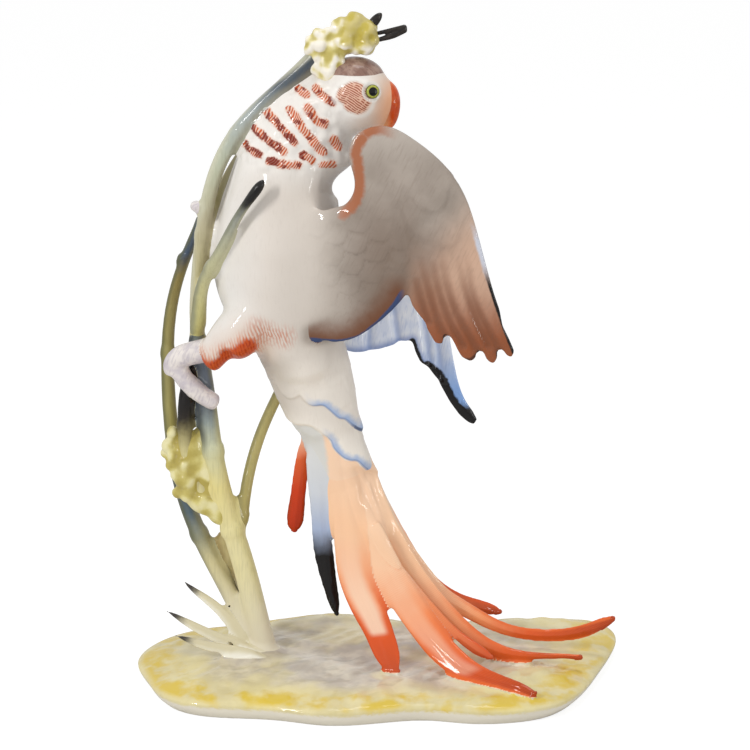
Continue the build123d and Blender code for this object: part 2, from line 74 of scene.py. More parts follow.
CANES = [
    "lower_cane", "upper_cane", "rear_cane", "root_shoot", "fork_cane", "side_cane", "front_twig",
    "breast_strut",
]  # fmt: skip
TAIL = [f"tail_feather_{number}" for number in range(1, 7)] + ["grey_feather", "red_feather"]
GRASS = [f"grass_blade_{number}" for number in range(1, 4)]
THIGHS = ["near_thigh", "far_thigh"]
COVERTS = ["upper_coverts", "lower_coverts"]
BODY = ["torso", "head", *THIGHS, *COVERTS]
WINGS = ["near_wing", "far_wing"]
FEET = ["near_foot", "far_foot"]
BEAK = ["upper_beak", "lower_beak"]
EYES = ["near_eye", "far_eye"]
SKIN = BODY + ["crest"] + WINGS + FEET + BEAK + TAIL + CANES + GRASS + ["base"]


# ---------------------------------------------------------------- numbers on a mesh
def read(collection, name, width=1, kind=float):
    """Values of one property of a mesh's elements as an array."""
    values = np.empty(len(collection) * width, dtype=kind)
    collection.foreach_get(name, values)
    return values.reshape(-1, width) if width > 1 else values


def smooth_step(values, start, end):
    """0 at start and 1 at end, with a soft slope between them."""
    share = np.clip((values - start) / (end - start), 0, 1)
    return share * share * (3 - 2 * share)


def hump(values, width):
    """1 where the values are 0, falling to nothing over a few widths."""
    return np.exp(-((values / width) ** 2))


def round_spot(places, spot, radius, stretch=(1, 1)):
    """1 at a drawn spot, falling to nothing over a few radii, which can be stretched."""
    return hump(np.linalg.norm((places - np.array(spot)) / np.array(stretch), axis=1), radius)


def bend(points, parts=6):
    """Smooth curve through drawn points, as a finer list of points."""
    points = [np.array(point, dtype=float) for point in points]
    padded = [2 * points[0] - points[1], *points, 2 * points[-1] - points[-2]]
    curve = []
    for before, start, end, after in zip(padded, padded[1:], padded[2:], padded[3:]):
        slope = end - before
        sway = 2 * before - 5 * start + 4 * end - after
        swing = 3 * start - before - 3 * end + after
        for part in range(parts):
            t = part / parts
            curve.append(start + 0.5 * (slope * t + sway * t**2 + swing * t**3))
    return [*curve, points[-1]]


def signed_distance(places, line):
    """Distance in mm from each (x, z) place to a drawn line, positive on the line's left."""
    curve = bend(line)
    best = np.full(len(places), np.inf)
    side = np.ones(len(places))
    for start, end in zip(curve, curve[1:]):
        run = end - start
        offset = places - start
        share = np.clip(offset @ run / (run @ run), 0, 1)
        gap = np.linalg.norm(offset - share[:, None] * run, axis=1)
        nearer = gap < best
        best[nearer] = gap[nearer]
        side[nearer] = np.sign(run[0] * offset[nearer, 1] - run[1] * offset[nearer, 0] + 1e-9)
    return best * side


def distance(places, *lines):
    """Distance in mm from each place to the nearest of the drawn lines."""
    return np.min([np.abs(signed_distance(places, line)) for line in lines], axis=0)


def gather(rows, values, count):
    """Sums of the values, or of each column of them, that go to each of the numbered rows."""
    if values.ndim == 1:
        return np.bincount(rows, values, count)
    return np.stack([np.bincount(rows, column, count) for column in values.T], axis=1)


def neighbour_sums(a, b, values):
    """Sums of the values at the other ends of each point's edges, which run from a to b."""
    return gather(a, values[b], len(values)) + gather(b, values[a], len(values))


# ---------------------------------------------------------------- the skin
def solids(*nodes):
    """The CAD nodes' meshes together, to be added to."""
    made = bmesh.new()
    for node in nodes:
        made.from_mesh(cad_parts[node].data)
    return made


def mesh_from(made, name):
    """New mesh that holds what was made."""
    mesh = bpy.data.meshes.new(name)
    made.to_mesh(mesh)
    made.free()
    return mesh


def plug_vent(made):
    """Adds a short plug inside the vent, so that the skin follows a shallow hole and not the hollow."""
    place = BELLY + np.array([VENT[0], 0, VENT[1]]) * MM
    tree = BVHTree.FromBMesh(made)
    beside = place + np.array([PLUG_RADIUS, 40 * MM, 0])
    far_wall = tree.ray_cast(Vector(beside), Vector((0, -1, 0)))[0]
    size = {"radius1": PLUG_RADIUS, "radius2": PLUG_RADIUS, "depth": 2 * MM}
    plug = bmesh.ops.create_cone(made, cap_ends=True, segments=24, **size)
    for vertex in plug["verts"]:
        across, up, along = vertex.co
        vertex.co = Vector((place[0] + across, far_wall.y - PLUG_DEPTH + along, place[2] + up))
    bmesh.ops.recalc_face_normals(made, faces=made.faces)


def modified(mesh, kind, **settings):
    """The mesh with a modifier applied."""
    holder = bpy.data.objects.new(mesh.name, mesh)
    bpy.context.collection.objects.link(holder)
    modifier = holder.modifiers.new(kind, kind)
    for name, value in settings.items():
        setattr(modifier, name, value)
    result = bpy.data.meshes.new_from_object(holder.evaluated_get(bpy.context.evaluated_depsgraph_get()))
    bpy.data.objects.remove(holder)
    return result


def remeshed(mesh, voxel):
    """One closed mesh of even quads round the outside of the given solids."""
    return modified(mesh, "REMESH", mode="VOXEL", voxel_size=voxel)


class Skin:
    """A closed mesh of quads as arrays, in metres."""

    def __init__(self, mesh):
        self.mesh = mesh
        self.points = read(mesh.vertices, "co", 3)
        self.faces = read(mesh.loops, "vertex_index", kind=np.int32).reshape(-1, 4)
        self.edges = read(mesh.edges, "vertices", 2, np.int32)
        self.degree = np.maximum(np.bincount(self.edges.ravel(), minlength=len(self.points)), 1)

    def relax(self, weights, rounds):
        """Moves each point towards its neighbours, in proportion to its weight or to one for all."""
        weights = np.broadcast_to(weights, len(self.points))
        edges = self.edges[(weights[self.edges] > 0.001).any(axis=1)]
        used, local = np.unique(edges, return_inverse=True)
        a, b = local.reshape(-1, 2).T
        points = self.points[used]
        weight = np.where(weights > 0.001, weights, 0)[used][:, None]
        degree = self.degree[used][:, None]
        for _ in range(rounds):
            points += weight * (neighbour_sums(a, b, points) / degree - points)
        self.points[used] = points

    def soften(self, values, rounds):
        """The values spread over neighbouring points."""
        for _ in range(rounds):
            values = 0.5 * values + 0.5 * neighbour_sums(*self.edges.T, values) / self.degree
        return values

    def steps_from(self, start, most):
        """How many edges away the nearest of the starting points is, up to a limit."""
        steps = np.full(len(self.points), float(most))
        steps[start] = 0
        a, b = self.edges.T
        for _ in range(most):
            np.minimum.at(steps, a, steps[b] + 1)
            np.minimum.at(steps, b, steps[a] + 1)
        return steps

    def normals(self):
        """Unit normal at each point."""
        corners = self.points[self.faces]
        across = np.cross(corners[:, 2] - corners[:, 0], corners[:, 3] - corners[:, 1])
        total = gather(self.faces.ravel(), np.repeat(across, 4, axis=0), len(self.points))
        return total / np.maximum(np.linalg.norm(total, axis=1, keepdims=True), 1e-12)

    def push(self, amounts):
        """Moves the points out along the normals by the amounts in mm, or by one for all."""
        amounts = np.broadcast_to(amounts, len(self.points))
        self.points += self.normals() * (amounts * MM)[:, None]

    def places(self):
        """(x, z) of each point in mm from the centre of the belly."""
        return (self.points[:, [0, 2]] - BELLY[[0, 2]]) / MM


def filled(mesh, voxel, fill):
    """Skin round the solids, with the gaps that are narrower than twice the fill closed."""
    swollen = Skin(remeshed(mesh, voxel))
    swollen.relax(0.5, 2)
    swollen.push(fill / MM)
    swollen.mesh.vertices.foreach_set("co", swollen.points.ravel())
    skin = Skin(remeshed(swollen.mesh, voxel))
    skin.relax(0.5, 2)
    skin.push(-fill / MM)
    skin.relax(0.5, 2)
    return skin


def nearest_casting(points, nodes, reach=4 * MM):
    """Number of the casting that lies nearest to each point."""
    best = np.full(len(points), np.inf)
    label = np.zeros(len(points), dtype=np.int32)
    for number, node in enumerate(nodes):
        low, high = box(node)
        near = np.flatnonzero(np.all((points > low - reach) & (points < high + reach), axis=1))
        made = solids(node)
        tree = BVHTree.FromBMesh(made)
        made.free()
        gaps = np.full(len(near), np.inf)
        for row, point in enumerate(points[near].tolist()):
            gap = tree.find_nearest(point, reach)[3]
            if gap is not None:
                gaps[row] = gap
        closer = gaps < best[near]
        best[near[closer]] = gaps[closer]
        label[near[closer]] = number
    return label


def islands(label, edges):
    """Number of the connected patch of one label that each point belongs to."""
    island = np.arange(len(label))
    a, b = edges[label[edges[:, 0]] == label[edges[:, 1]]].T
    while True:
        before = island.copy()
        np.minimum.at(island, a, island[b])
        np.minimum.at(island, b, island[a])
        island = island[island]
        if np.array_equal(before, island):
            return island


def tidy_labels(skin, label, smallest=400):
    """Smooths the borders between labels, and gives patches too small to be a casting to their neighbours."""
    a, b = skin.edges.T
    for _ in range(4):
        votes = np.zeros(len(label))
        rival = label.copy()
        for first, second in ((a, b), (b, a)):
            other = label[first] != label[second]
            np.add.at(votes, first[other], 1)
            rival[first[other]] = label[second[other]]
        swap = votes > skin.degree / 2
        label[swap] = rival[swap]
    for _ in range(3):
        island = islands(label, skin.edges)
        small = np.bincount(island, minlength=len(label))[island] < smallest
        across = label[a] != label[b]
        for first, second in ((a, b), (b, a)):
            take = across & small[first] & ~small[second]
            label[first[take]] = label[second[take]]
    return label


castings = solids(*SKIN)
plug_vent(castings)
skin = filled(mesh_from(castings, "skin"), VOXEL, FILL)
label = tidy_labels(skin, nearest_casting(skin.points, SKIN))


def on(*nodes):
    """Which points of the skin belong to the castings."""
    return np.isin(label, [SKIN.index(node) for node in nodes])


def seam(first, second):
    """Points of the skin where two groups of castings meet."""
    a, b = skin.edges.T
    one, two = on(*first), on(*second)
    meets = ((one[a] & two[b]) | (one[b] & two[a])) & (label[a] != label[b])
    return np.unique(skin.edges[meets])


def tree_of_skin():
    """Search tree over the skin as it is now."""
    return BVHTree.FromPolygons(skin.points.tolist(), skin.faces.tolist())


def thickness(tree, mask, most):
    """How thick the skin is at the masked points, in mm and up to a limit, and the limit elsewhere."""
    inwards = -skin.normals()
    starts = skin.points + inwards * 0.01 * MM
    thick = np.full(len(skin.points), float(most))
    for number in np.flatnonzero(mask):
        reach = tree.ray_cast(Vector(starts[number]), Vector(inwards[number]), most * MM)[3]
        if reach is not None:
            thick[number] = reach / MM
    return thick


LEAST_WEB = 2.6  # mm, the thinnest that the webs between the tail feathers are left
skin.push(0.5 * skin.soften(LEAST_WEB - thickness(tree_of_skin(), on(*TAIL), LEAST_WEB), 3))

# ---------------------------------------------------------------- smoothing the seams
soft_seams = [  # castings that meet, how many edges their seam spreads over, and the rounds of smoothing
    (["torso"], ["head"], 14, 80),
    (["torso"], THIGHS, 12, 80),
    (["torso"], ["upper_coverts"], 12, 90),
    (["torso", "upper_coverts"], WINGS, 16, 120),
    (["head"], ["crest"], 5, 20),
    (["head"], BEAK, 4, 12),
    (THIGHS, FEET, 3, 10),
    (["upper_coverts"], ["lower_coverts"], 6, 30),
    (COVERTS, TAIL, 12, 100),
    (TAIL, TAIL, 3, 10),
    (["base"], TAIL, 2, 6),
    (CANES, CANES, 6, 30),
    (CANES, ["torso", "head"], 4, 16),
    (CANES, FEET, 2, 6),
    (["base"], CANES + GRASS, 10, 80),
]
for first, second, spread, rounds in soft_seams:
    steps = skin.steps_from(seam(first, second), spread)
    skin.relax(0.9 * (1 - steps / spread), rounds)

ROOT_SPREAD = 38  # edges over which a wing's root runs into the body


def facing(side):
    """Share by which each point of the skin looks towards a side along the Y axis."""
    return skin.soften(smooth_step(side * skin.normals()[:, 1], 0.3, 0.75), 3)


above_rim = smooth_step(skin.places()[:, 1], -36, -26)
for wing, side, rounds in (("near_wing", -1, 400), ("far_wing", 1, 250)):
    steps = skin.steps_from(seam(["torso", "upper_coverts"], [wing]), ROOT_SPREAD)
    skin.relax(0.95 * (1 - steps / ROOT_SPREAD) * facing(side) * above_rim, rounds)


def nudge(mask, spot, radius, move):
    """Pulls the masked points round a drawn place by a move in mm, less and less with distance from it."""
    share = round_spot(skin.places(), spot, radius) * mask
    skin.points += share[:, None] * np.array(move) * MM


nudge(on("torso", "head"), (29, 33), 7, (-4.6, 0, 0))  # the neck's edge beside the opening
nudge(on("torso", "head"), (32.5, 47), 6, (5.0, 0, 0))  # the breast behind the wing's shoulder
nudge(on("near_thigh"), (-25, -50), 4.5, (0, 0, 4.4))  # the notch between the thigh's two lobes
nudge(on("near_thigh"), (-33.5, -55), 5, (0, 0, -2.6))
for notch in ((82, -38.5), (98.5, -45.5), (107.8, -45.5)):  # between the tips of the near wing's primaries
    nudge(on("near_wing"), notch, 3.3, (0, 0, 3.4))
armpit = round_spot(skin.places(), (28, 23), 9) * (skin.points[:, 1] < BELLY[1])
skin.relax(0.95 * armpit, 160)
nudge(on("torso", "near_wing"), (30, 19.5), 5.5, (0, 0, 4))  # the lower end of the opening

# ---------------------------------------------------------------- drawn lines
upper_scallops = [
    (-6, -60), (-1.6, -65.7), (1.8, -71), (5, -73), (8.5, -72), (10.3, -70.5), (12.7, -73.4), (16.2, -76.0),
    (21.2, -76.0), (24.1, -78.0), (29.1, -83.2), (32.6, -84.7), (37.5, -90.4), (44, -95),
]  # fmt: skip
lower_scallops = [
    (4, -86), (8.1, -87.8), (14.1, -87.3), (19.0, -89.9), (25.0, -95.1), (27.0, -99.8), (31.0, -104.4),
    (35.0, -106.5), (39.0, -107.6), (44.0, -113.8), (50, -118),
]  # fmt: skip
breast_bars = [
    [(-6.2, 71.2), (1.2, 64.8), (8.6, 57.2)],
    [(-11, 62.4), (-3.8, 57.5), (3.6, 53.0)],
    [(-15.2, 54.0), (-8.4, 50.4)],
    [(-3.0, 48.2), (3.8, 46.2), (10.4, 46.2)],
    [(6.6, 71.8), (11.2, 65.3), (18.8, 55.5), (22.4, 51.8)],
    [(13.2, 50.7), (16.8, 48.2)],
    [(15.4, 72.8), (18.8, 67.8), (23.2, 65.2)],
    [(18.6, 81.6), (23, 78.1), (26.9, 75.6)],
    [(10.2, 81.0), (14.4, 79.0)],
    [(27.2, 57.4), (30, 53.7)],
    [(22.4, 46.0), (26.8, 45.4)],
]
cheek_patch = [(33.5, 79), (37.5, 81), (41, 78.5), (40, 74.5), (36.5, 75)]
thigh_lobes = [(-33.3, -49.8), (-18.5, -43.5)]
tuft_lines = [
    [(-38.2, -52.8), (-33.5, -55.0), (-26.4, -51.5)],
    [(-24.4, -48.0), (-19.5, -46.5), (-14.6, -42.8)],
]
belly_tuft = [(-9.5, -34.0), (-3.5, -37.0), (3.0, -38.5)]
short_plume = [(44.0, -136.0), (47.5, -143.0), (51.5, -151.0)]
primary_grooves = [
    [(81.8, -35.0), (77.9, -26.6), (75.4, -18.2), (72.5, -6.9), (70.0, 3.4)],
    [(90.0, -38.9), (84.6, -29.0), (80.7, -19.2), (77.8, -9.3), (75.8, 1.9)],
    [(97.8, -42.9), (92.9, -34.0), (88.0, -25.1), (84.1, -15.2), (81.6, -5.4), (79.6, 7.8)],
    [(102.6, -38.9), (97.2, -27.5), (93.2, -16.7), (90.2, -6.9), (88, 4)],
    [(107.4, -41.4), (102.0, -31.0), (97.1, -21.1), (93.7, -10.8), (92.2, 0.5), (88.6, 14.6)],
    [(73, -27), (70, -17), (67.5, -7)],
]
wing_arcs = [
    [(67.9, 30), (70.9, 27.5), (75.7, 26.6), (80.0, 29), (83.2, 38.2)],
    [(60.3, 26), (63.3, 19.2), (67.6, 14.9), (71.4, 13)],
    [(76, 14), (80, 10), (86, 12), (89, 20)],
]
wing_valley = [(61.5, -10.4), (64.3, 1.3), (61.4, 14.5), (58.5, 26.7)]
near_fringe = [
    (116, -46), (112, -50), (108.5, -47), (106, -49.5), (100, -50), (97, -44.5), (93, -46), (86, -45),
    (81.5, -38), (76, -40.5), (70, -28), (65.5, -17), (62.5, -10.5), (58.6, -18), (52, -25.5), (45, -32),
    (37.5, -37.5), (28, -40.5), (15, -40), (5, -38),
]  # fmt: skip
wing_edge_line = [(94, 21.2), (99.8, 1.7), (104.8, -14.4), (110, -29.3), (114.8, -42)]
tip_marks = [
    [(81.4, -35), (81.6, -38), (80, -40.4)],
    [(97.8, -43), (97.6, -46.3), (94.8, -48.4)],
    [(107.4, -43), (107.2, -46.3), (105.8, -49)],
    [(105.3, -16.4), (109.7, -26.7)],
    [(109.7, -29.3), (112.3, -36), (115.2, -41.7), (114.8, -45.6)],
    [(68.6, -27.7), (71.7, -30.7)],
]
wing_band = [
    [(32.5, 24), (37.8, 29.6), (40, 37.3), (39.6, 47.0), (38.6, 54.7), (41.6, 60.5)],
    [(44.2, 63.2), (49.9, 65), (57, 63)],
]
lobe_blue = [
    (60.8, -12.6), (55.2, -21.3), (46.8, -30.7), (39.9, -36.4), (31, -39.6), (20, -40.2), (12, -39.4),
]  # fmt: skip
far_fringe = [(66.5, -55), (70.5, -65.5), (75.5, -69.5), (80.9, -77), (86, -87), (91, -94), (98.7, -99.2)]
far_thick = [(74.5, -69.5), (80.9, -77), (86, -87), (90, -92), (96, -96)]
far_lower = [(66.5, -54), (60, -55.5), (45, -58.5), (35, -58), (25, -52)]
far_grooves = [
    [(76, -66), (74, -50), (70, -30), (64, -10)],
    [(82, -74), (80, -55), (77, -35), (72, -10)],
    [(60, -54), (58, -40), (54, -20), (48, 0)],
    [(45, -56), (45, -42), (42, -25), (38, -6)],
]
first_feather_left = [(19.2, -71.4), (21.6, -89.4), (24.0, -110.1), (25.4, -136.3)]
fan_grooves = [
    [(29.1, -96), (30.5, -106.9), (32.5, -120.0), (38.0, -138.3), (43.5, -151.5), (48.5, -171.6)],
    [(38, -112), (44, -128), (54, -148), (66, -166), (78, -180)],
    [(43, -116), (52, -134), (64, -152), (80, -168)],
]

# ---------------------------------------------------------------- relief
plume = hump(distance(skin.places(), short_plume), 6.5) * on(*TAIL[:6]) * facing(-1)
skin.relax(0.95 * plume, 120)  # the short upper plume lies down into the fan
places = skin.places()
normals = skin.normals()
FAR_AWAY = 99.0  # mm, where a drawn line plays no part
NOWHERE = np.full(len(places), FAR_AWAY)
fields = {}  # distances and shares at each point of the skin, which the materials turn into colour
relief = np.zeros(len(places))


def over(mask, function, *lines):
    """The function's distances from the lines at the masked points, and far away elsewhere."""
    values = NOWHERE.copy()
    values[mask] = function(places[mask], *lines)
    return values


def mm_from(spot):
    """Distance of each point of the skin from a spot, in mm."""
    return np.linalg.norm(skin.points - spot, axis=1) / MM


def lip(edge, height, reach):
    """Relief of a layer that ends at an edge: raised just inside it, and sinking back over its reach."""
    return height * smooth_step(edge, -0.6, 0.5) * np.exp(-np.maximum(edge, 0) / reach)


def scale_rows(places, turn, width, height):
    """Distance in mm up from the scalloped lower edge of each place's row of small feathers."""
    turn = math.radians(turn)
    along = places[:, 0] * math.cos(turn) + places[:, 1] * math.sin(turn)
    up = places[:, 1] * math.cos(turn) - places[:, 0] * math.sin(turn)
    nearest = np.full(len(places), height * 2.0)
    row = np.floor(up / height)
    for step in (-1, 0, 1):
        edge = (row + step) * height
        arch = np.abs(np.cos(math.pi * (along / width + 0.5 * ((row + step) % 2))))
        gap = up - (edge + 0.55 * height * (1 - arch))
        above = gap >= 0
        nearest[above] = np.minimum(nearest[above], gap[above])
    return nearest


near, far, wings = on("near_wing"), on("far_wing"), on(*WINGS)
front = skin.points[:, 1] < BELLY[1]
nearwards = smooth_step(-normals[:, 1], -0.1, 0.5)
FAR_ROOT = 30  # edges over which the far wing's colour runs into the body's
to_wings = skin.steps_from(seam(["torso", *COVERTS, *THIGHS], WINGS), FAR_ROOT)

painted_lines = {  # castings that each painted mark is kept for, and its lines
    "bars": (["torso", "head"], breast_bars),
    "tufts": (["torso", *THIGHS], tuft_lines),
    "belly_tuft": (["torso", *THIGHS], [belly_tuft]),
    "cheek": (["torso", "head"], [cheek_patch]),
    "wing_edge": (["near_wing"], [wing_edge_line]),
    "marks": (["near_wing"], tip_marks),
    "band": (["near_wing", "torso"], wing_band),
    "lobe_blue": (["near_wing"], [lobe_blue]),
    "far_outline": (["far_wing"], [far_fringe]),
    "far_thick": (["far_wing"], [far_thick]),
}
for name, (nodes, lines) in painted_lines.items():
    fields[name] = over(on(*nodes), distance, *lines)

# rump and tail coverts
covert_points = on(*COVERTS, "torso", *TAIL) & (places[:, 1] < -40)
fields["upper_edge"] = over(covert_points, signed_distance, upper_scallops)
fields["lower_edge"] = over(covert_points, signed_distance, lower_scallops)
fields["fan_left"] = over(covert_points, signed_distance, first_feather_left)
relief += lip(np.where(covert_points, fields["upper_edge"], -FAR_AWAY), 1.2, 9)
relief += lip(np.where(covert_points, fields["lower_edge"], -FAR_AWAY), 1.0, 8)
rows = scale_rows(places, -20, 13, 11)
rump = on(*COVERTS) * smooth_step(fields["lower_edge"], 6, 12)
relief += 0.35 * np.exp(-rows / 3) * rump
relief -= 0.5 * hump(over(on(*COVERTS, "tail_feather_1", "tail_feather_2"), distance, *fan_grooves), 1.3)

# breast, foot, thighs and head
ruff = on("torso", "head") * smooth_step(places[:, 1], 38, 46) * smooth_step(fields["bars"], 9, 5)
ruffled = np.flatnonzero(ruff > 0.01)
curls = np.zeros(len(places))
curls[ruffled] = [noise.noise(point / (4.6 * MM)) for point in map(Vector, skin.points[ruffled].tolist())]
relief += 0.9 * hump(fields["bars"], 1.9) * ruff + 1.3 * curls * ruff
relief += 0.9 * on("near_foot")  # the toes are plumper than their solids
for lobe in thigh_lobes:
    relief += 1.9 * round_spot(places, lobe, 5) * on("near_thigh")
fields["eye"] = np.minimum(*(mm_from(spot_in_box(name)) for name in EYES))
relief += 0.45 * hump(fields["eye"] - 5.2, 0.9) * on("head", "torso")
relief -= 0.3 * hump(over(on("head", "torso"), distance, [*cheek_patch, cheek_patch[0]]) - 4.2, 0.8)

# near wing: a swelling lobe with rows of small feathers, a valley, and long primaries
relief += 2.6 * round_spot(places, (38, -2), 24, (1.1, 1)) * nearwards * (near | on("torso"))
wing_rows = scale_rows(places, 30, 13, 8)
lobe_middle = round_spot(places, (40, 3), 20, (1.2, 1)) * near
fields["wing_rows"] = np.exp(-wing_rows / 1.3) * lobe_middle
relief += 0.6 * np.exp(-wing_rows / 2.6) * lobe_middle
valley = over(near, distance, wing_valley)
relief -= 1.4 * hump(valley, 3.4)
grooves = over(near, distance, *primary_grooves)
grooves[far] = distance(places[far], *far_grooves)
fields["grooves"] = grooves
tipward = np.where(near, smooth_step(places[:, 1], 14, -30), smooth_step(places[:, 1], -5, -60))
relief -= (0.35 + 1.25 * tipward) * hump(grooves, 2.2) * wings
arcs = over(near, signed_distance, wing_arcs[0])
for arc in wing_arcs[1:]:
    other = over(near, signed_distance, arc)
    arcs = np.where(np.abs(other) < np.abs(arcs), other, arcs)
relief += lip(np.where(near, arcs, -FAR_AWAY), 0.8, 5)
fields["fringe"] = over(near, distance, near_fringe)
fields["fringe"][far] = distance(places[far], far_fringe, far_lower)
skin.push(skin.soften(relief, 1))
skin.relax(0.4, 2)


# ---------------------------------------------------------------- places along the feathers and canes
def follow(values, levels, shares):
    """A quantity given level by level, read off smoothly at each point's share."""
    kept = ~np.isnan(values)
    return np.interp(shares, levels[kept], values[kept])


def along_piece(mask, share, bins):
    """How far each masked point lies to the side of its piece's middle line, from -1 to 1."""
    points = skin.points[mask]
    group = np.clip((share * bins).astype(int), 0, bins - 1)
    levels = (np.arange(bins) + 0.5) / bins
    count = np.bincount(group, minlength=bins)
    with np.errstate(invalid="ignore"):
        middles = [np.bincount(group, part, bins) / count for part in points.T]
    centre = np.stack([follow(middle, levels, share) for middle in middles], axis=1)
    ahead = np.stack([follow(middle, levels, share + 0.04) for middle in middles], axis=1)
    run = ahead - centre
    across = np.cross(run, np.array([0.0, 1.0, 0.0]))
    across /= np.maximum(np.linalg.norm(across, axis=1, keepdims=True), 1e-9)
    offset = np.sum((points - centre) * across, axis=1)
    widest = np.full(bins, np.nan)
    for number in np.flatnonzero(count):
        widest[number] = np.percentile(np.abs(offset[group == number]), 97)
    return offset / np.maximum(follow(widest, levels, share), 1 * MM)


fields["along"] = np.zeros(len(places))
fields["across"] = np.zeros(len(places))
tail_root = BELLY + np.array([36, 0, -100]) * MM
roots = {name: tail_root for name in TAIL[:6]}
roots.update({name: spot_in_box(name, up=1) for name in TAIL[6:]})
roots.update({name: spot_in_box(name, along=1, up=0) for name in GRASS})
for name, root in roots.items():
    mask = on(name)
    reach = np.linalg.norm(skin.points[mask] - root, axis=1)
    share = reach / reach.max()
    fields["along"][mask] = share
    fields["across"][mask] = along_piece(mask, share, 36)
for name in CANES:
    mask = on(name)
    heights = skin.points[mask][:, 2]
    share = (heights.max() - heights) / np.ptp(heights)
    fields["across"][mask] = along_piece(mask, share, 40)

feathers = on(*TAIL)
quill = hump(fields["across"], 0.13) * smooth_step(fields["along"], 0.3, 0.5)
side = np.abs(fields["across"])
carve = 0.3 * quill + 0.45 * side**6 - 0.35 * side**2
skin.push(np.where(feathers, carve * smooth_step(fields["along"], 0.25, 0.45), 0))

# ---------------------------------------------------------------- the base's rippled top
ground = on("base")
ground_points = skin.points[ground] / MM
base_low, base_high = box("base")
by_length, by_depth = (ground_points[:, :2] / ((base_high - base_low)[:2] / MM / 2)).T
angle = np.arctan2(by_depth, by_length)
spread = np.hypot(by_depth, by_length)
SECTORS = 72
sector = ((angle + math.pi) / (2 * math.pi) * SECTORS).astype(int) % SECTORS
rim = np.array([spread[sector == number].max() for number in range(SECTORS)])
sector_angles = (np.arange(SECTORS) + 0.5) / SECTORS * 2 * math.pi - math.pi
fields["rim"] = np.zeros(len(places))
fields["rim"][ground] = spread / np.interp(angle, sector_angles, rim, period=2 * math.pi)
x, y, height = ground_points.T
ripple = (
    0.55 * np.sin(x / 9 + 1.8 * np.sin(y / 14) + 0.6)
    + 0.45 * np.sin(y / 6 + 1.3 * np.sin(x / 21))
    + 0.4 * np.sin((x + y) / 4.7 + 2 * np.sin(x / 11))
    + 0.25 * np.sin((2 * x - y) / 3.7 + 2 * np.sin(y / 8))
)
top = smooth_step(height, 5, 9) * (1 - smooth_step(fields["rim"][ground], 0.86, 0.99))
away = smooth_step(skin.steps_from(seam(["base"], CANES + GRASS + TAIL), 10)[ground], 2, 10)
lift = np.zeros(len(places))
lift[ground] = 0.85 * ripple * top * away
skin.push(lift)

fields["height"] = places[:, 1].copy()
fields["breadth"] = places[:, 0].copy()
fields["height_over_table"] = skin.points[:, 2] / MM
fields["far"] = far.astype(float)
root = smooth_step(places[:, 0], 6, 46 - 28 * smooth_step(places[:, 1], -22, -36))
under_root = root * smooth_step(places[:, 1], 42, 22) * smooth_step(places[:, 1], -47, -39)
under_root *= smooth_step((BELLY[1] - skin.points[:, 1]) / MM, 0, 13)
in_wing = np.maximum(root, smooth_step(places[:, 1], 20, 40) * smooth_step(places[:, 0], 28, 36))
far_side = wings * smooth_step(to_wings, 0, FAR_ROOT)
fields["wing"] = np.where(front, np.where(wings, in_wing, under_root), far_side)
fields["face"] = mm_from(spot_in_box("upper_beak"))


# ---------------------------------------------------------------- glazes
def screen_colour(text):
    """Colour for a shader's socket, from the "#RRGGBB" that a screen shows."""
    shares = [int(text[start : start + 2], 16) / 255 for start in (1, 3, 5)]
    return [share / 12.92 if share <= 0.04045 else ((share + 0.055) / 1.055) ** 2.4 for share in shares] + [1]


class Nodes:
    """The node tree of a material or a world, which starts empty."""

    def __init__(self, owner):
        owner.use_nodes = True
        self.tree = owner.node_tree
        self.tree.nodes.clear()

    def node(self, kind, inputs=None, **settings):
        """New node, with its settings made and then its inputs fed."""
        made = self.tree.nodes.new(kind)
        for name, value in settings.items():
            setattr(made, name, value)
        for socket, value in (inputs or {}).items():
            self.feed(made.inputs[socket], value)
        return made

    def feed(self, socket, value):
        """Gives a socket another node's output, a "#RRGGBB" colour, a field by its name, or a plain value."""
        if isinstance(value, str) and value.startswith("#"):
            value = screen_colour(value)
        elif isinstance(value, str):
            value = self.node("ShaderNodeAttribute", attribute_name=value).outputs["Fac"]
        if isinstance(value, bpy.types.NodeSocket):
            self.tree.links.new(value, socket)
        else:
            socket.default_value = value

    def math(self, operation, *values):
        return self.node("ShaderNodeMath", dict(enumerate(values)), operation=operation).outputs[0]


WAVE_PITCH = 2 * math.pi / 20  # of the bands of Blender's wave texture at scale 1


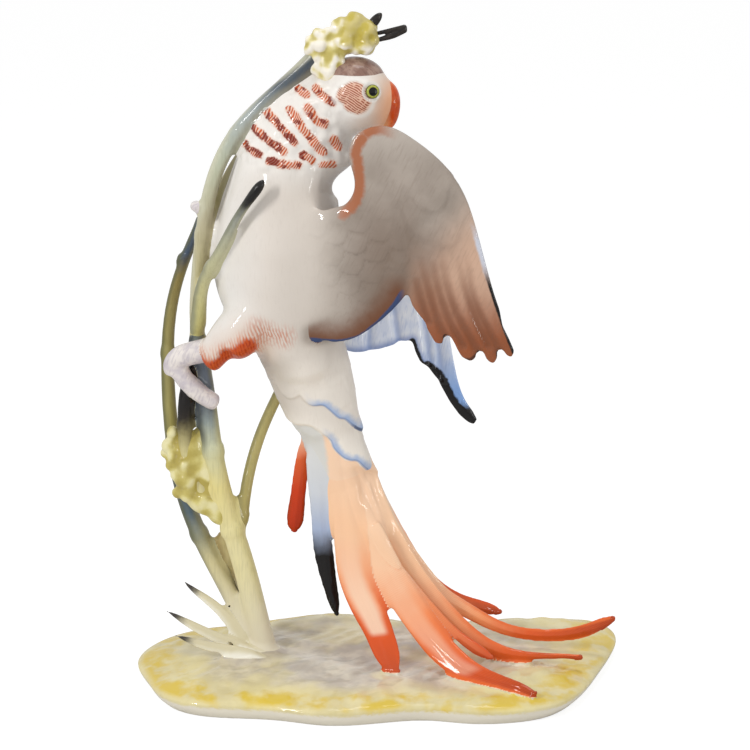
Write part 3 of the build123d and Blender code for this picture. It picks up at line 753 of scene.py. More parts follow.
class Glaze(Nodes):
    """Porcelain colours painted in layers under a clear glaze, as a material."""

    def __init__(self, name):
        self.material = bpy.data.materials.new(name)
        super().__init__(self.material)
        self.spot = self.node("ShaderNodeTexCoord").outputs["Object"]
        self.colour = WHITE

    def times(self, *shares):
        """Product of the shares, each of which can be a tuple of what fade takes."""
        shares = [self.fade(*share) if isinstance(share, tuple) else share for share in shares]
        product = shares[0]
        for share in shares[1:]:
            product = self.math("MULTIPLY", product, share)
        return product

    def fade(self, value, start, end, fray=None, kind="SMOOTHSTEP", **stretched):
        """0 where the value is at start and 1 at end, with a slope between that noise can fray."""
        if fray:
            size, amount = fray
            value = self.jitter(value, size, amount, **stretched)
        low, high, at_low = (start, end, 0) if start < end else (end, start, 1)
        ends = {"From Min": low, "From Max": high, "To Min": at_low, "To Max": 1 - at_low}
        made = self.node("ShaderNodeMapRange", {"Value": value, **ends}, interpolation_type=kind)
        return made.outputs["Result"]

    def turned(self, stretch=(1, 1, 1), turn=(0, 0, 0)):
        """The place on the object, along axes that are turned and stretched."""
        inputs = {"Vector": self.spot, "Rotation": [math.radians(angle) for angle in turn], "Scale": stretch}
        return self.node("ShaderNodeMapping", inputs, vector_type="TEXTURE").outputs["Vector"]

    def noise(self, size, detail=2, **stretched):
        """Noise from 0 to 1 with grains of the given size in mm, stretched along turned axes."""
        inputs = {"Vector": self.turned(**stretched), "Scale": 1 / (size * MM), "Detail": detail}
        return self.node("ShaderNodeTexNoise", inputs).outputs["Fac"]

    def grain(self, size, start, end, detail=2, **stretched):
        """Patches of noise with soft borders."""
        return self.fade(self.noise(size, detail, **stretched), start, end)

    def jitter(self, value, size, amount, **stretched):
        """The value moved up and down by noise, which frays the edges that are cut from it."""
        wave = self.math("MULTIPLY_ADD", self.noise(size, 3, **stretched), 2 * amount, -amount)
        return self.math("ADD", value, wave)

    def hatch(self, pitch, turn, wobble):
        """Brush lines from 0 to 1, at a pitch in mm, square to the turned X axis."""
        inputs = {"Vector": self.turned(turn=(0, turn, 0)), "Scale": WAVE_PITCH / (pitch * MM)}
        inputs.update({"Distortion": wobble, "Detail": 1, "Detail Scale": 0.5})
        return self.node("ShaderNodeTexWave", inputs, wave_type="BANDS", bands_direction="X").outputs["Fac"]

    def mix(self, share, under, over):
        """One colour over another. The colour sockets go by number, as others have the same names."""
        inputs = {0: self.times(share), 6: under, 7: over}
        return self.node("ShaderNodeMix", inputs, data_type="RGBA").outputs[2]

    def paint(self, colour, *shares):
        """Lays a colour over what is painted already, by the product of the shares."""
        self.colour = self.mix(self.times(*shares), self.colour, colour)

    def ramp(self, value, stops):
        """Colour along a value, from a list of places and colours."""
        made = self.node("ShaderNodeValToRGB", {"Fac": value})
        points = made.color_ramp.elements
        while len(points) < len(stops):
            points.new(0.5)
        for point, (place, colour) in zip(points, stops):
            point.position = place
            point.color = screen_colour(colour)
        return made.outputs["Color"]

    def finish(self, strength=0.05):
        """Ends the tree in a glossy glaze over the colours, with a faint ripple."""
        inputs = {"Strength": strength, "Distance": 0.4 * MM, "Height": self.noise(5)}
        normal = self.node("ShaderNodeBump", inputs).outputs["Normal"]
        inputs = {
            "Base Color": self.colour, "Roughness": 0.4, "Specular IOR Level": 0.05, "Coat Weight": 0.45,
            "Coat Roughness": 0.03, "Normal": normal, "Coat Normal": normal,
        }  # fmt: skip
        shader = self.node("ShaderNodeBsdfPrincipled", inputs)
        self.node("ShaderNodeOutputMaterial", {"Surface": shader.outputs["BSDF"]})
        return self.material


WHITE = "#F1EDE7"
BEIGE_GREY = "#CCC2B7"
BLUE = "#98B4DE"
BLUE_GREY = "#586684"
BLACK = "#161414"
PEACH = "#FDD8B8"
HIGHLIGHT_PEACH = "#FEE2C6"
ORANGE = "#F89660"
RED_ORANGE = "#DE561E"
RUSSET = "#EC6E32"
DEEP_RED = "#AC3C0E"
CREAM = "#E8E0B0"
OLIVE = "#C4BA70"
GREEN_GREY = "#B0B8A6"
CANE_FOOT, CANE_TOP = -220, 110  # heights that the canes' colours are set between


def paint_breast(glaze):
    """Ragged bars of fine slanting strokes across the breast and the neck, their ink darkest in random
    patches and, as painted shade, on the left.
    """
    bars = glaze.jitter(glaze.jitter("bars", 5, 1.5), 1.3, 0.8)
    strokes = glaze.fade(glaze.hatch(1.3, 34, 12), 0.3, 0.6)
    # The ink deepens in random patches and, as painted shade, towards the left side of the breast.
    deep_ink_and_shade = glaze.math("ADD", glaze.noise(4.5), glaze.times(("breadth", 16, -14), 0.16))
    strokes = glaze.math("MAXIMUM", strokes, glaze.times((deep_ink_and_shade, 0.54, 0.62), 0.85))
    ink = glaze.mix((deep_ink_and_shade, 0.5, 0.64), "#C2582C", "#7C1E08")
    glaze.paint("#E2A07C", (bars, 3.0, 1.2), 0.6)
    glaze.paint(ink, (bars, 2.3, 1.5), strokes)


def paint_tufts(glaze):
    """Red-orange tufts that streak up from the rims of the thighs and the belly."""
    streak = glaze.noise(0.8, stretch=(1, 1, 5), turn=(0, -12, 0))
    streak = glaze.fade(glaze.math("ADD", streak, glaze.times(glaze.hatch(1.5, -12, 6), 0.3)), 0.42, 0.8)
    glaze.paint("#D6B49C", ("tufts", 20, 5, (5, 2)), 0.45)
    glaze.paint("#D0703E", glaze.fade("tufts", 10.5, 3, (1.2, 3), stretch=(1, 1, 6)), streak, 0.9)
    rim = glaze.fade("tufts", 6, 3, (1.2, 1.2), stretch=(1, 1, 4))
    glaze.paint(glaze.mix(streak, "#B23A0C", "#CC541E"), rim)
    belly = glaze.fade("belly_tuft", 9, 0, (2.5, 2), stretch=(1, 1, 3))
    glaze.paint("#C46A42", belly, (streak, 0, 1.6))


def paint_head(glaze):
    """Warm face, a cheek patch of fine broken strokes, and white round the cheek and the eye."""
    glaze.paint("#E8C4A8", ("face", 27, 12, (8, 2)), 0.6)
    glaze.paint("#FBBA8E", ("face", 18, 7), 0.9)
    patch = glaze.fade("cheek", 5.2, 3.4, (1.5, 0.7))
    breaks = glaze.grain(1.3, 0.34, 0.48, stretch=(1, 1, 2), turn=(0, 64, 0))
    glaze.paint("#E2A682", patch, 0.7)
    glaze.paint("#963E20", patch, (glaze.hatch(1.05, -62, 7), 0.3, 0.6), breaks, 0.9)
    glaze.paint(WHITE, ("cheek", 4.8, 5.6), ("cheek", 8, 6), 0.6)
    glaze.paint(WHITE, ("eye", 3.2, 3.8), ("eye", 5.4, 4.8), 0.7)


def paint_coverts(glaze):
    """Layers of coverts, each with a blue band inside its scalloped edge, over the roots of the tail."""
    glaze.paint(BEIGE_GREY, ("upper_edge", 0.4, -0.4), ("lower_edge", -1, 12), 0.3)
    fan = glaze.mix(("fan_left", -1.5, 1.0, (4, 1)), "#DCDBD6", PEACH)
    glaze.paint(fan, ("lower_edge", 0.2, -1.4, (3, 1.2)))
    for edge, start in (("upper_edge", 12), ("lower_edge", 20)):
        right = glaze.fade("breadth", start, start + 8)
        glaze.paint(BLUE, (edge, -0.3, 0.3), (edge, 4.4, 0.3, (3.5, 1.6)), right, 0.85)
        rim = glaze.times((edge, -0.8, -0.2), (edge, 0.8, 0.2), right)
        glaze.paint("#748EBE", rim, 0.6)
        glaze.paint(BLUE_GREY, rim, ("breadth", start + 22, start + 26))


def near_wing_colour(glaze):
    """Taupe lobe, rose-brown primaries with dark tips, a rust leading edge and blue and black rims."""
    glaze.colour = glaze.mix(glaze.grain(20, 0.3, 0.7, 4), "#968A7F", "#AA9E93")
    # Painted light: the wing is paler towards its top.
    glaze.paint("#BAB0A6", ("height", 40, 64), 0.6)
    # Painted shade: the wing is darker over its lower middle, between the lobe and the primaries.
    glaze.paint("#7A685A", ("breadth", 30, 52), ("breadth", 78, 62), ("height", 44, 6), 0.75)
    outwards = glaze.math("SUBTRACT", "breadth", "height")
    primaries = glaze.times((outwards, 48, 92, (10, 4)), ("breadth", 58, 68, (6, 1.5)))
    glaze.paint(glaze.mix(("breadth", 70, 90, (5, 3)), "#A47C64", "#D0AC94"), primaries)
    glaze.paint("#965432", glaze.fade("height", 0, -38, (4, 4), stretch=(1, 1, 3)), primaries)
    # Darker brown along the grooves between the primaries towards their tips: partly the feathers' own brown,
    # partly painted shade in the grooves.
    glaze.paint("#784A32", ("grooves", 3.4, 0.2, (3, 0.6)), ("height", 14, -22), 0.6)
    glaze.paint("#6C5E52", "wing_rows", 0.4)
    glaze.paint("#6E5C4E", glaze.grain(1.0, 0.5, 0.75, stretch=(1, 1, 9), turn=(0, 26, 0)), 0.16)
    glaze.paint("#A6623E", ("band", 3.8, 1.2, (2.5, 1.2)), ("breadth", 60, 46), 0.95)
    lobe = glaze.times(("breadth", 4, 16), ("breadth", 66, 58), ("height", 2, -14))
    glaze.paint("#70442A", ("fringe", 15, 1, (4, 2)), lobe, 0.95)
    glaze.paint("#284674", ("lobe_blue", 1.7, 0.8, (3, 0.4)), ("breadth", 12, 18), ("breadth", 63, 58), 0.9)
    front_edge = glaze.fade("wing_edge", 2.2, 0.6, (4, 0.8))
    glaze.paint("#CED8E8", front_edge, ("height", -12, 4), ("height", 24, 12, (5, 4)), 0.8)
    glaze.paint(BLACK, ("wing_edge", 1.7, 0.9, (3, 0.3)), ("height", 2, -10))
    glaze.paint("#3A241C", ("fringe", 1.6, 0.4, (3, 0.5)), ("breadth", 76, 80), ("height", -32, -38), 0.8)
    glaze.paint(BLACK, ("marks", 1.4, 0.5, (2, 0.3)))
    return glaze.colour


def far_wing_colour(glaze):
    """Pale blue, with a black outline that widens to a black tip."""
    glaze.colour = glaze.mix(glaze.grain(12, 0.35, 0.65, 3), "#F2F6FD", "#DCE5F7")
    glaze.paint("#88ACE2", ("height", -50, -84, (5, 4)))
    glaze.paint("#7E9AD0", glaze.grain(0.9, 0.5, 0.75, stretch=(1, 1, 10), turn=(0, 12, 0)), 0.3)
    glaze.paint("#7E98CC", ("grooves", 2.2, 0.2), 0.5)
    glaze.paint("#708CC8", ("fringe", 5, 0.5), ("height", -40, -50), 0.75)
    outline = glaze.fade("far_outline", 2.3, 1.4, (4, 0.9))
    outline = glaze.math("MAXIMUM", outline, glaze.fade("far_thick", 4.9, 3.7, (4, 1.6)))
    tip = glaze.fade("height", -86, -92, (3, 3), stretch=(1, 1, 3))
    glaze.paint(BLACK, glaze.math("MAXIMUM", tip, outline))
    return glaze.colour


def plumage(name):
    """Painted feathers of the body and the wings, which run into each other at the wings' roots."""
    glaze = Glaze(name)
    wing = glaze.mix("far", near_wing_colour(glaze), far_wing_colour(glaze))
    # The body pales to near white on the left and greys to the right: partly its own grey-beige wash, partly
    # painted shade on the side away from the key light.
    stops = [(0, "#EEEBE6"), (0.5, "#E0D7CD"), (1, "#CDC3B8")]
    glaze.colour = glaze.ramp(glaze.fade("breadth", -44, 34, (14, 5)), stops)
    glaze.paint(WHITE, ("height", 30, 50), 0.75)
    glaze.paint("#EEE6DB", ("height", -38, -62, (9, 4)))
    glaze.paint("#F7F0E5", ("height", -78, -100))
    # Painted shade: a greyer patch on the left side of the rump, below the belly.
    glaze.paint("#B0A698", ("breadth", 14, -3), ("height", -44, -56), ("height", -90, -76), 0.6)
    glaze.paint("#B0A294", glaze.grain(0.9, 0.5, 0.8, stretch=(1, 1, 8)), 0.1)
    for paint in (paint_breast, paint_tufts, paint_head, paint_coverts):
        paint(glaze)
    glaze.paint(wing, ("wing", 0.05, 0.95, (9, 0.06)))
    return glaze.finish()


def feather_glaze(name, stops, edge, painted_highlight=0.0, vane=0.15):
    """A tail feather whose colour runs from root to tip, with a darker edge and a pale panel that is a
    painted highlight.
    """
    glaze = Glaze(name)
    glaze.colour = glaze.ramp(glaze.jitter("along", 7, 0.03), stops)
    glaze.paint(edge, (glaze.hatch(0.9, 60, 5), 0.3, 0.9), ("along", 0.2, 0.5), vane)
    side = glaze.math("ABSOLUTE", "across")
    glaze.paint(edge, (side, 0.5, 0.98, (3, 0.12)), ("along", 0.5, 0.75), 0.85)
    if painted_highlight:
        # Painted highlight: a pale panel down the feather's middle, painted in place of a lamp's reflection.
        glaze.paint(HIGHLIGHT_PEACH, (side, 0.8, 0.3), ("along", 0.3, 0.7), ("along", 0.84, 0.81), painted_highlight)
    return glaze.finish()


def cane_glaze(name, stops, left, right, tinted=None, ink=None):
    """A cane painted in bands by height, with tints along its sides, fine fibres and a pale foot.

    The left tint and the ink can be kept to a reach of heights.
    """
    glaze = Glaze(name)
    share = glaze.fade("height", CANE_FOOT, CANE_TOP, kind="LINEAR")
    glaze.colour = glaze.ramp(glaze.jitter(glaze.jitter(share, 10, 0.012), 2, 0.006), stops)
    across = glaze.jitter("across", 8, 0.25, stretch=(1, 1, 3))
    reach = [("height", *tinted)] if tinted else []
    glaze.paint(left, (across, -0.05, -0.8), 0.75, *reach)
    glaze.paint(right, (across, 0.2, 0.9), 0.45)
    glaze.paint("#78704C", glaze.grain(0.8, 0.4, 0.75, stretch=(1, 1, 14)), 0.16)
    if ink:
        glaze.paint(BLACK, ("height", *ink, (4, 2.5)), 0.95)
    glaze.paint("#E6DEC6", ("height", -160, -205, (9, 5)))
    return glaze.finish()


def mixed_glaze(name, under, over, size, turn, tint):
    """Two colours that run into each other, with faint brush streaks."""
    glaze = Glaze(name)
    glaze.colour = glaze.mix(glaze.grain(size, 0.35, 0.65, 3), under, over)
    glaze.paint(tint, glaze.grain(1.1, 0.46, 0.7, stretch=(1, 1, 6), turn=(0, turn, 0)), 0.4)
    return glaze.finish()


def base_glaze(name):
    """Grey-beige ground with ochre washes, an ochre band inside the rim and a pale side."""
    glaze = Glaze(name)
    glaze.colour = glaze.mix(glaze.grain(15, 0.36, 0.64, 4), "#BEB4A6", "#E0D7C5")
    glaze.paint("#968A74", glaze.grain(5, 0.52, 0.7, 3, stretch=(2.5, 1, 1), turn=(0, 0, 25)), 0.35)
    glaze.paint("#EADC98", glaze.grain(30, 0.46, 0.64, 3, turn=(0, 0, 40)), 0.45)
    glaze.paint("#EEE09A", ("rim", 0.55, 0.86, (12, 0.08)), 0.6)
    glaze.paint("#E0C450", ("rim", 0.8, 0.9, (7, 0.06)), ("rim", 1.0, 0.96), glaze.grain(14, 0.38, 0.6, 3))
    glaze.paint("#E8E1D0", ("height_over_table", 7.5, 5.5, (5, 0.8)))
    return glaze.finish(strength=0.1)


def grass_glaze(name):
    """Pale blades, of which those on the left have dark tips."""
    glaze = Glaze(name)
    glaze.colour = glaze.mix(("across", -0.3, 0.8), "#DED5B4", "#F6F2E2")
    glaze.paint("#46423E", ("along", 0.76, 0.92, (3, 0.04)), ("breadth", -34, -42))
    return glaze.finish()


def beak_glaze(name):
    """Orange horn that pales towards the face, with fine streaks."""
    glaze = Glaze(name)
    glaze.colour = glaze.mix(glaze.grain(5, 0.35, 0.65), "#D24E1C", "#EA7036")
    glaze.paint("#A03010", glaze.grain(0.8, 0.45, 0.75, stretch=(1, 1, 6)), 0.3)
    glaze.paint("#FAB482", ("breadth", 56, 52.5, (3, 0.6)), 0.85)
    return glaze.finish()


def eye_glaze(name):
    """Black pupil in a yellow-green iris with a dark rim."""
    glaze = Glaze(name)
    glaze.colour = glaze.mix(glaze.grain(0.5, 0.35, 0.65), "#BABC54", "#96983A")
    glaze.paint("#4A4E22", ("radius", 2.8, 3.3))
    glaze.paint("#040404", ("radius", 2.3, 2.0))
    return glaze.finish()


def blossom_glaze(name, petal, hollow, crown, sunny):
    """Petals, with deeper colour in their hollows, a pale crown and a deep yellow side."""
    glaze = Glaze(name)
    rise = glaze.jitter("rise", 1.6, 0.12)
    glaze.colour = glaze.mix((rise, -0.2, 0.35, (8, 0.3)), petal, crown)
    glaze.paint(hollow, (rise, 0.1, -0.4), 0.8)
    glaze.paint(sunny, ("sun", 0.2, 0.9, (4, 0.3)), 0.8)
    return glaze.finish()


# ---------------------------------------------------------------- pieces
def border_edges(faces, face_labels):
    """Ends of the edges along which two castings meet."""
    faces = faces.astype(np.int64)
    size = faces.max() + 1
    a, b = faces.ravel(), np.roll(faces, -1, axis=1).ravel()
    keys = np.minimum(a, b) * size + np.maximum(a, b)
    order = np.argsort(keys, kind="stable")
    keys, owners = keys[order], np.repeat(face_labels, 4)[order]
    meets = keys[1:][(keys[1:] == keys[:-1]) & (owners[1:] != owners[:-1])]
    return meets // size, meets % size


def even_borders(skin, face_labels, rounds=36):
    """Slides the points of the stepped borders between castings along the skin into smooth lines."""
    a, b = border_edges(skin.faces, face_labels)
    free = neighbour_sums(a, b, np.ones(len(skin.points))) == 2
    normals = skin.normals()[free]
    for _ in range(rounds):
        step = 0.5 * (neighbour_sums(a, b, skin.points)[free] / 2 - skin.points[free])
        skin.points[free] += step - np.sum(step * normals, axis=1, keepdims=True) * normals


corner_labels = np.sort(label[skin.faces], axis=1)  # a face belongs to a casting that two corners share
face_labels = np.where(corner_labels[:, 0] == corner_labels[:, 1], corner_labels[:, 0], corner_labels[:, 2])
even_borders(skin, face_labels)
skin_normals = skin.normals()
steps = skin.steps_from(np.unique(skin.edges[label[skin.edges[:, 0]] != label[skin.edges[:, 1]]]), 3)
skin_tree = tree_of_skin()
thick = thickness(skin_tree, (steps < 3) | on(*TAIL), CAP_DEPTH / CAP_SHARE)
wall_depth = np.minimum(CAP_DEPTH, CAP_SHARE * thick) * MM


def walled(faces, size, lined):
    """The faces with a short wall inwards from their cut edges, and the points that have a sunk twin.

    A lined piece also gets a second layer of faces under the first, which suits a thin, long cut.
    """
    a, b = faces.ravel(), np.roll(faces, -1, axis=1).ravel()
    open_edge = ~np.isin(a * size + b, b * size + a)
    starts, ends = a[open_edge], b[open_edge]
    sunk = np.arange(size) if lined else np.unique(np.concatenate([starts, ends]))
    inner = np.full(size, -1)
    inner[sunk] = size + np.arange(len(sunk))
    wall = np.stack([ends, starts, inner[starts], inner[ends]], axis=1)
    lining = [inner[faces[:, ::-1]]] if lined else []
    return np.vstack([faces, wall, *lining]), sunk


def mesh_of(name, points, faces):
    """Mesh whose holes are closed."""
    mesh = bpy.data.meshes.new(name)
    mesh.from_pydata(points.tolist(), [], faces.tolist())
    made = bmesh.new()
    made.from_mesh(mesh)
    rims = [edge for edge in made.edges if edge.is_boundary]
    caps = bmesh.ops.holes_fill(made, edges=rims)["faces"]
    bmesh.ops.triangulate(made, faces=caps)
    made.to_mesh(mesh)
    made.free()
    return mesh


def thinned(mesh, triangles):
    """The mesh with its flattest edges collapsed, down to a number of triangles."""
    mesh.calc_loop_triangles()
    return modified(mesh, "DECIMATE", ratio=triangles / len(mesh.loop_triangles))


def add_piece(name, mesh, material, node, shades=None):
    """Shows a mesh in place of a CAD node, with its fields and its glaze."""
    mesh.shade_smooth()
    for shade, values in (shades or {}).items():
        attribute = mesh.attributes.new(shade, "FLOAT", "POINT")
        attribute.data.foreach_set("value", values.astype(np.float32))
    mesh.materials.append(material)
    piece = bpy.data.objects.new(name, mesh)
    bpy.context.scene.collection.objects.link(piece)
    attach(piece, "root")
    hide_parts(node)


def cut_out(name, faces, material):
    """Piece of the skin, closed where it was cut, and shaded as the whole skin is."""
    used, renumbered = np.unique(faces, return_inverse=True)
    faces, sunk = walled(renumbered.reshape(-1, 4), len(used), name in TAIL)
    origin = np.concatenate([used, used[sunk]])
    points = skin.points[origin]
    points[len(used) :] -= (skin_normals * wall_depth[:, None])[used[sunk]]
    mesh = mesh_of(f"{name}_skin", points, faces)
    if 2 * len(faces) > MOST_TRIANGLES:
        mesh = thinned(mesh, MOST_TRIANGLES)
        hits = [skin_tree.find_nearest(point)[2] for point in read(mesh.vertices, "co", 3).tolist()]
        origin = skin.faces[hits, 0]
    shades = {shade: values[origin] for shade, values in fields.items()}
    add_piece(f"{name}_skin", mesh, material, name, shades)
    mesh.normals_split_custom_set_from_vertices(skin_normals[origin].tolist())


body_paint, wing_paint = plumage("body_glaze"), plumage("wing_glaze")
foot_paint = mixed_glaze("foot_glaze", "#EAE2DC", "#CEC6CA", 6, 20, "#B4AAB2")
crest_paint = mixed_glaze("crest_glaze", "#8A6A5E", "#AA8E80", 5, -35, "#644A42")
bud_paint = mixed_glaze("bud_glaze", "#100F0F", "#2C2521", 3, 60, "#463C34")
paints = {**dict.fromkeys(BODY, body_paint), **dict.fromkeys(WINGS, wing_paint)}
paints.update(dict.fromkeys(FEET, foot_paint), crest=crest_paint, base=base_glaze("base_glaze"))
paints.update(dict.fromkeys(BEAK, beak_glaze("beak_glaze")))
paints.update(dict.fromkeys(GRASS, grass_glaze("grass_glaze")))
feather_paints = {  # colours from root to tip, edge, and how strong the painted highlight panel and the vane's lines are
    "tail_feather_1": (
        [(0, PEACH), (0.4, "#FDCCA2"), (0.68, ORANGE), (0.84, RED_ORANGE), (1, "#C44E24")],
        RED_ORANGE, 0.75,
    ),
    "tail_feather_2": (
        [(0, PEACH), (0.4, "#FDD0AA"), (0.6, ORANGE), (0.78, RED_ORANGE), (1, DEEP_RED)],
        RUSSET, 0.3,
    ),
    "tail_feather_3": (
        [(0, PEACH), (0.45, "#FED0A6"), (0.66, "#FAA470"), (0.82, "#E26024"), (1, DEEP_RED)],
        RUSSET,
    ),
    "tail_feather_4": (
        [(0, PEACH), (0.5, "#FED6B0"), (0.68, "#FAA670"), (0.82, "#E05C24"), (1, DEEP_RED)],
        RUSSET,
    ),
    "tail_feather_5": ([(0, PEACH), (0.55, "#F8BE98"), (0.8, "#E4703C"), (1, DEEP_RED)], RED_ORANGE),
    "tail_feather_6": ([(0, PEACH), (0.5, "#FED4AE"), (0.7, ORANGE), (1, "#CE5428")], RED_ORANGE),
    "grey_feather": (
        [(0, "#E0DFDA"), (0.3, "#D4D8DE"), (0.5, "#AAB8D4"), (0.66, BLACK), (1, BLACK)],
        BLACK, 0, 0,
    ),
    "red_feather": ([(0, PEACH), (0.3, "#E46430"), (0.6, "#D63E0C"), (1, "#BA3208")], DEEP_RED),
}  # fmt: skip
cane_paints = {  # colours from foot to top, tints of the left and right side, and heights of tint and ink
    "lower_cane": (
        [(0, CREAM), (0.2, "#E8DEAA"), (0.3, "#E6D892"), (0.365, "#CED0AE"), (0.4, "#929C98"),
         (0.43, "#626A72"), (0.5, "#646E7A"), (0.62, "#AAAC82"), (1, OLIVE)],
        "#282D34", "#E0D68C", (-110, -92),
    ),
    "upper_cane": (
        [(0, OLIVE), (0.6, "#C8BE8C"), (0.72, "#BEB698"), (0.8, "#BCC0A8"), (0.87, "#A6AEAC"),
         (0.915, "#58626C"), (1, "#1C212A")],
        "#CECCB4", "#968A6A",
    ),
    "rear_cane": (
        [(0, CREAM), (0.17, "#D8CE9E"), (0.215, "#969884"), (0.25, "#5A6C7A"), (0.3, "#627078"),
         (0.37, "#B0A664"), (0.5, "#A89E64"), (0.62, "#8C7C48"), (0.655, "#465468"), (0.7, "#546270"),
         (0.74, "#9E9A6E"), (1, GREEN_GREY)],
        "#585A3A", "#B8AE7C",
    ),
    "root_shoot": ([(0, CREAM), (0.25, "#BAAA74"), (0.5, "#9C8854"), (1, OLIVE)], "#9E8854", "#A08C5A"),
    "fork_cane": (
        [(0, CREAM), (0.34, "#D8CE96"), (0.39, "#B4A874"), (0.415, "#463A2E"), (0.52, "#2C241E"),
         (0.62, "#5C503E"), (1, OLIVE)],
        "#3C3632", "#968A60", (-96, -80), (-104, -76),
    ),
    "side_cane": (
        [(0, CREAM), (0.22, "#AA9C5C"), (0.34, "#B6AA6C"), (0.6, "#C0B680"), (1, "#B0A66E")],
        "#969062", "#CEC282",
    ),
    "front_twig": (
        [(0, OLIVE), (0.56, "#CEC682"), (0.68, "#BAB898"), (0.73, "#96988E"), (0.755, "#32302E"),
         (1, BLACK)],
        "#80826E", "#D6D2AC", None, (24, 31),
    ),
    "breast_strut": ([(0, OLIVE), (1, "#A89E80")], "#928A70", "#B0A686"),
}  # fmt: skip
for glaze_of, table in ((feather_glaze, feather_paints), (cane_glaze, cane_paints)):
    paints.update({name: glaze_of(f"{name}_glaze", *colours) for name, colours in table.items()})

for number, name in enumerate(SKIN):
    cut_out(name, skin.faces[face_labels == number], paints[name])


# ---------------------------------------------------------------- blossoms, buds and eyes
def egg(made, node, spot, depth, radii, lean=0.0):
    """Adds an egg-shaped lump at a drawn place in a CAD node's middle plane, leaning along the plane."""
    low, high = box(node)
    middle = (BELLY[0] + spot[0] * MM, (low[1] + high[1]) / 2 + depth * MM, BELLY[2] + spot[1] * MM)
    lump = bmesh.ops.create_icosphere(made, subdivisions=3, radius=1)
    turn = math.radians(lean)
    for vertex in lump["verts"]:
        x, y, z = (part * radius for part, radius in zip(vertex.co, radii))
        x, z = x * math.cos(turn) + z * math.sin(turn), z * math.cos(turn) - x * math.sin(turn)
        vertex.co = (middle[0] + x * MM, middle[1] + y * MM, middle[2] + z * MM)


def add_blossom(node, eggs, swell, grain, dent, material):
    """The CAD node with fuller petals round it, fused, and dented like pinched porcelain clay."""
    made = solids(node)
    for place in eggs:
        egg(made, node, *place)
    lump = filled(mesh_from(made, node), FINE_VOXEL, swell * MM)
    rise = np.array([noise.noise(point / (grain * MM)) for point in map(Vector, lump.points.tolist())])
    lump.push(dent * rise)
    lump.relax(0.5, 4)
    mesh = mesh_of(f"{node}_lump", lump.points, lump.faces)
    x, _, z = (lump.points - BELLY).T / MM
    sun = smooth_step(x, 28, 35) * smooth_step(z, 98, 105)
    add_piece(f"{node}_lump", mesh, material, node, {"rise": rise, "sun": sun})


upper_eggs = [  # place, depth, radii and lean of each petal
    ((35.4, 110.0), 0, (8, 6.5, 5.5), 0),
    ((43.2, 109.0), -1, (6, 6, 5.5), 0),
    ((33.0, 103.5), -2, (6, 6, 6), 0),
    ((41.3, 101.4), -1, (6.5, 5.5, 4.5), 10),
    ((46.0, 104.4), 0, (3.4, 4.5, 4.2), 0),
    ((26.7, 98.0), -1, (5, 5, 6), 0),
    ((29.2, 93.8), -1, (4.5, 4.5, 4.3), 0),
    ((23.7, 94.0), 0, (4, 4.5, 4.2), 0),
    ((16.6, 103.0), -1, (3, 3, 3), 0),
    ((19.8, 107.2), -1, (3.2, 3.2, 3.2), 0),
    ((24.7, 107.4), -2, (3, 3, 3), 0),
    ((16.2, 99.0), 0, (2.6, 2.6, 2.6), 0),
    ((20.8, 101.6), -3, (3.5, 3.5, 3.5), 0),
    ((18.9, 97.0), -1, (2.8, 2.8, 2.8), 0),
    ((25.0, 88.0), 0, (6, 5.5, 5.5), 0),
    ((19.5, 91.0), 1, (4, 4, 4), 0),
]
lower_eggs = [
    ((-45.5, -107.2), -1, (7.5, 4.5, 16), -4),
    ((-39.6, -104.5), 1, (4, 4, 14), -10),
    ((-38.6, -130.0), -1, (13, 4.5, 6), 28),
    ((-46.5, -120.5), -1, (6.5, 4.5, 6), 0),
    ((-31.0, -136.0), -1, (6.5, 4.5, 5.5), 20),
    ((-38.5, -112.0), 0, (5, 4, 15), -8),
    ((-36.5, -124.0), 0, (5, 4, 9), -12),
    ((-54.4, -93.0), -1, (3, 3, 3.4), 0),
    ((-56.2, -100.0), -1, (3.2, 3.2, 3.6), 0),
    ((-54.0, -105.0), -3, (2.6, 2.6, 3), 0),
    ((-55.6, -110.0), -1, (2.9, 2.9, 3.2), 0),
    ((-52.6, -115.0), -2, (2.8, 2.8, 2.8), 0),
    ((-50.6, -124.6), -1, (2.8, 2.8, 2.6), 0),
]
add_blossom(
    "upper_blossom", upper_eggs, 0.8, 4.0, 1.3,
    blossom_glaze("upper_blossom_glaze", "#E8DDA4", "#BAAA4E", "#F3EDDE", "#C0AE4A"),
)  # fmt: skip
add_blossom(
    "lower_blossom", lower_eggs, 1.0, 7.0, 0.9,
    blossom_glaze("lower_blossom_glaze", "#D8CC7E", "#AE9C4A", "#EAE2B0", OLIVE),
)  # fmt: skip

bud_stalks = {  # places and radii along each stalk
    "short_bud": [[(44.6, 109.6, 1.5), (46.6, 112.4, 2.4), (48.6, 114.8, 2.1), (50.0, 116.4, 1.2)]],
    "long_bud": [
        [(49.4, 104.4, 1.2), (56.0, 106.3, 1.5), (61.6, 109.0, 1.6)],
        [(49.2, 107.6, 1.1), (56.0, 109.2, 1.2), (61.6, 110.3, 1.5)],
    ],
}
for node, stalks in bud_stalks.items():
    made = bmesh.new()
    for x, z, radius in (ball for stalk in stalks for ball in bend(stalk, 8)):
        egg(made, node, (x, z), 0, (radius, radius, radius))
    lump = Skin(remeshed(mesh_from(made, node), FINE_VOXEL))
    lump.relax(0.5, 5)
    add_piece(f"{node}_lump", mesh_of(f"{node}_lump", lump.points, lump.faces), bud_paint, node)

EYE_RADIUS, EYE_RISE = 3.4, 1.5  # mm, how wide the eyes' domes are and how tall
EYE_LIFT = 0.9 * MM  # from the middle of the CAD eye
EYES_AHEAD, EYES_UP = 0.25, 0.12  # how far the eyes look ahead and up, for 1 to the side


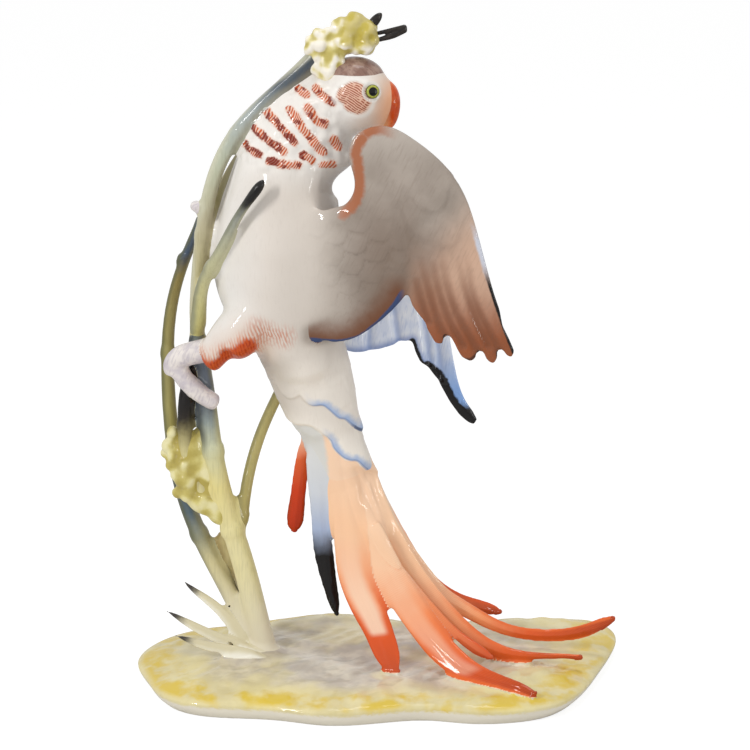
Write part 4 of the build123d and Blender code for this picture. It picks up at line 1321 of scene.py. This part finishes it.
def add_eye(node, material):
    """Glazed dome that looks straight out of the head."""
    middle = Vector(spot_in_box(node))
    side = math.copysign(1, middle.y - spot_in_box("head")[1])
    outwards = Vector((EYES_AHEAD, side, EYES_UP)).normalized()
    made = bmesh.new()
    bmesh.ops.create_uvsphere(made, u_segments=64, v_segments=48, radius=EYE_RADIUS * MM)
    for vertex in made.verts:
        vertex.co.z *= EYE_RISE / EYE_RADIUS
    mesh = mesh_from(made, f"{node}_dome")
    radius = np.linalg.norm(read(mesh.vertices, "co", 3)[:, :2], axis=1) / MM
    mesh.transform(outwards.to_track_quat("Z", "X").to_matrix().to_4x4())
    for vertex in mesh.vertices:
        vertex.co += middle + outwards * EYE_LIFT
    add_piece(f"{node}_dome", mesh, material, node, {"radius": radius})


eye_paint = eye_glaze("eye_glaze")
for node in EYES:
    add_eye(node, eye_paint)

# ---------------------------------------------------------------- floor, lights and camera
FLOOR_SIDE = 8.0  # m
FLOOR_GLOW = 0.84
WORLD_LIGHT = 0.5


def white_floor():
    """Pale floor that the camera sees as white, and that keeps the shadow."""
    half = FLOOR_SIDE / 2
    mesh = bpy.data.meshes.new("floor")
    corners = [(-half, -half, 0), (half, -half, 0), (half, half, 0), (-half, half, 0)]
    mesh.from_pydata(corners, [], [(0, 1, 2, 3)])
    floor = bpy.data.objects.new("floor", mesh)
    bpy.context.scene.collection.objects.link(floor)
    material = bpy.data.materials.new("floor")
    mesh.materials.append(material)
    nodes = Nodes(material)
    lit = nodes.node("ShaderNodeBsdfDiffuse", {"Color": "#E8E8E8"}).outputs[0]
    seen = nodes.node("ShaderNodeBsdfDiffuse", {"Color": "#969696"}).outputs[0]
    glow = nodes.node("ShaderNodeEmission", {"Strength": FLOOR_GLOW}).outputs[0]
    both = nodes.node("ShaderNodeAddShader", {0: seen, 1: glow}).outputs[0]
    to_camera = nodes.node("ShaderNodeLightPath").outputs["Is Camera Ray"]
    choice = nodes.node("ShaderNodeMixShader", {0: to_camera, 1: lit, 2: both}).outputs[0]
    nodes.node("ShaderNodeOutputMaterial", {"Surface": choice})


def white_world():
    """World that lights softly, and that the camera, reflections and clear things see as white."""
    world = bpy.data.worlds.new("studio")
    bpy.context.scene.world = world
    nodes = Nodes(world)
    rays = nodes.node("ShaderNodeLightPath").outputs
    seen = nodes.math("MAXIMUM", rays["Is Camera Ray"], rays["Is Glossy Ray"])
    seen = nodes.math("MAXIMUM", seen, rays["Is Transmission Ray"])
    strength = nodes.node("ShaderNodeMapRange", {"Value": seen, "To Min": WORLD_LIGHT, "To Max": 1})
    light = nodes.node("ShaderNodeBackground", {"Color": "#FFFFFF", "Strength": strength.outputs["Result"]})
    nodes.node("ShaderNodeOutputWorld", {"Surface": light.outputs["Background"]})


def soft_box(name, place, aim, size, power):
    """Rectangular lamp that shines at a place."""
    data = bpy.data.lights.new(name, "AREA")
    data.shape = "RECTANGLE"
    data.size, data.size_y = size
    data.energy = power
    lamp = bpy.data.objects.new(name, data)
    bpy.context.scene.collection.objects.link(lamp)
    lamp.location = place
    lamp.rotation_euler = (Vector(aim) - Vector(place)).to_track_quat("-Z", "Y").to_euler()


white_floor()
white_world()
soft_box("key", (-0.8, -0.85, 0.75), (-0.05, 0, 0.2), (0.1, 0.45), 6.5)
soft_box("fill", (0.95, -0.8, 0.35), (0, 0, 0.17), (0.09, 0.5), 2.0)
soft_box("top", (0.1, -0.1, 1.3), (0, 0, 0.2), (0.4, 0.4), 3)

FOCUS = Vector((-2.5 * MM, 0, 160.4 * MM))
CAMERA_DISTANCE = 1.3  # m
CAMERA_PITCH = math.radians(14)
lens = bpy.data.cameras.new("camera")
lens.lens = 124.8  # mm
lens.sensor_width = 36  # mm
camera = bpy.data.objects.new("camera", lens)
bpy.context.scene.collection.objects.link(camera)
camera.location = FOCUS + CAMERA_DISTANCE * Vector((0, -math.cos(CAMERA_PITCH), math.sin(CAMERA_PITCH)))
camera.rotation_euler = (math.pi / 2 - CAMERA_PITCH, 0, 0)
bpy.context.scene.camera = camera
bpy.context.scene.view_settings.view_transform = "Standard"

bpy.context.view_layer.update()
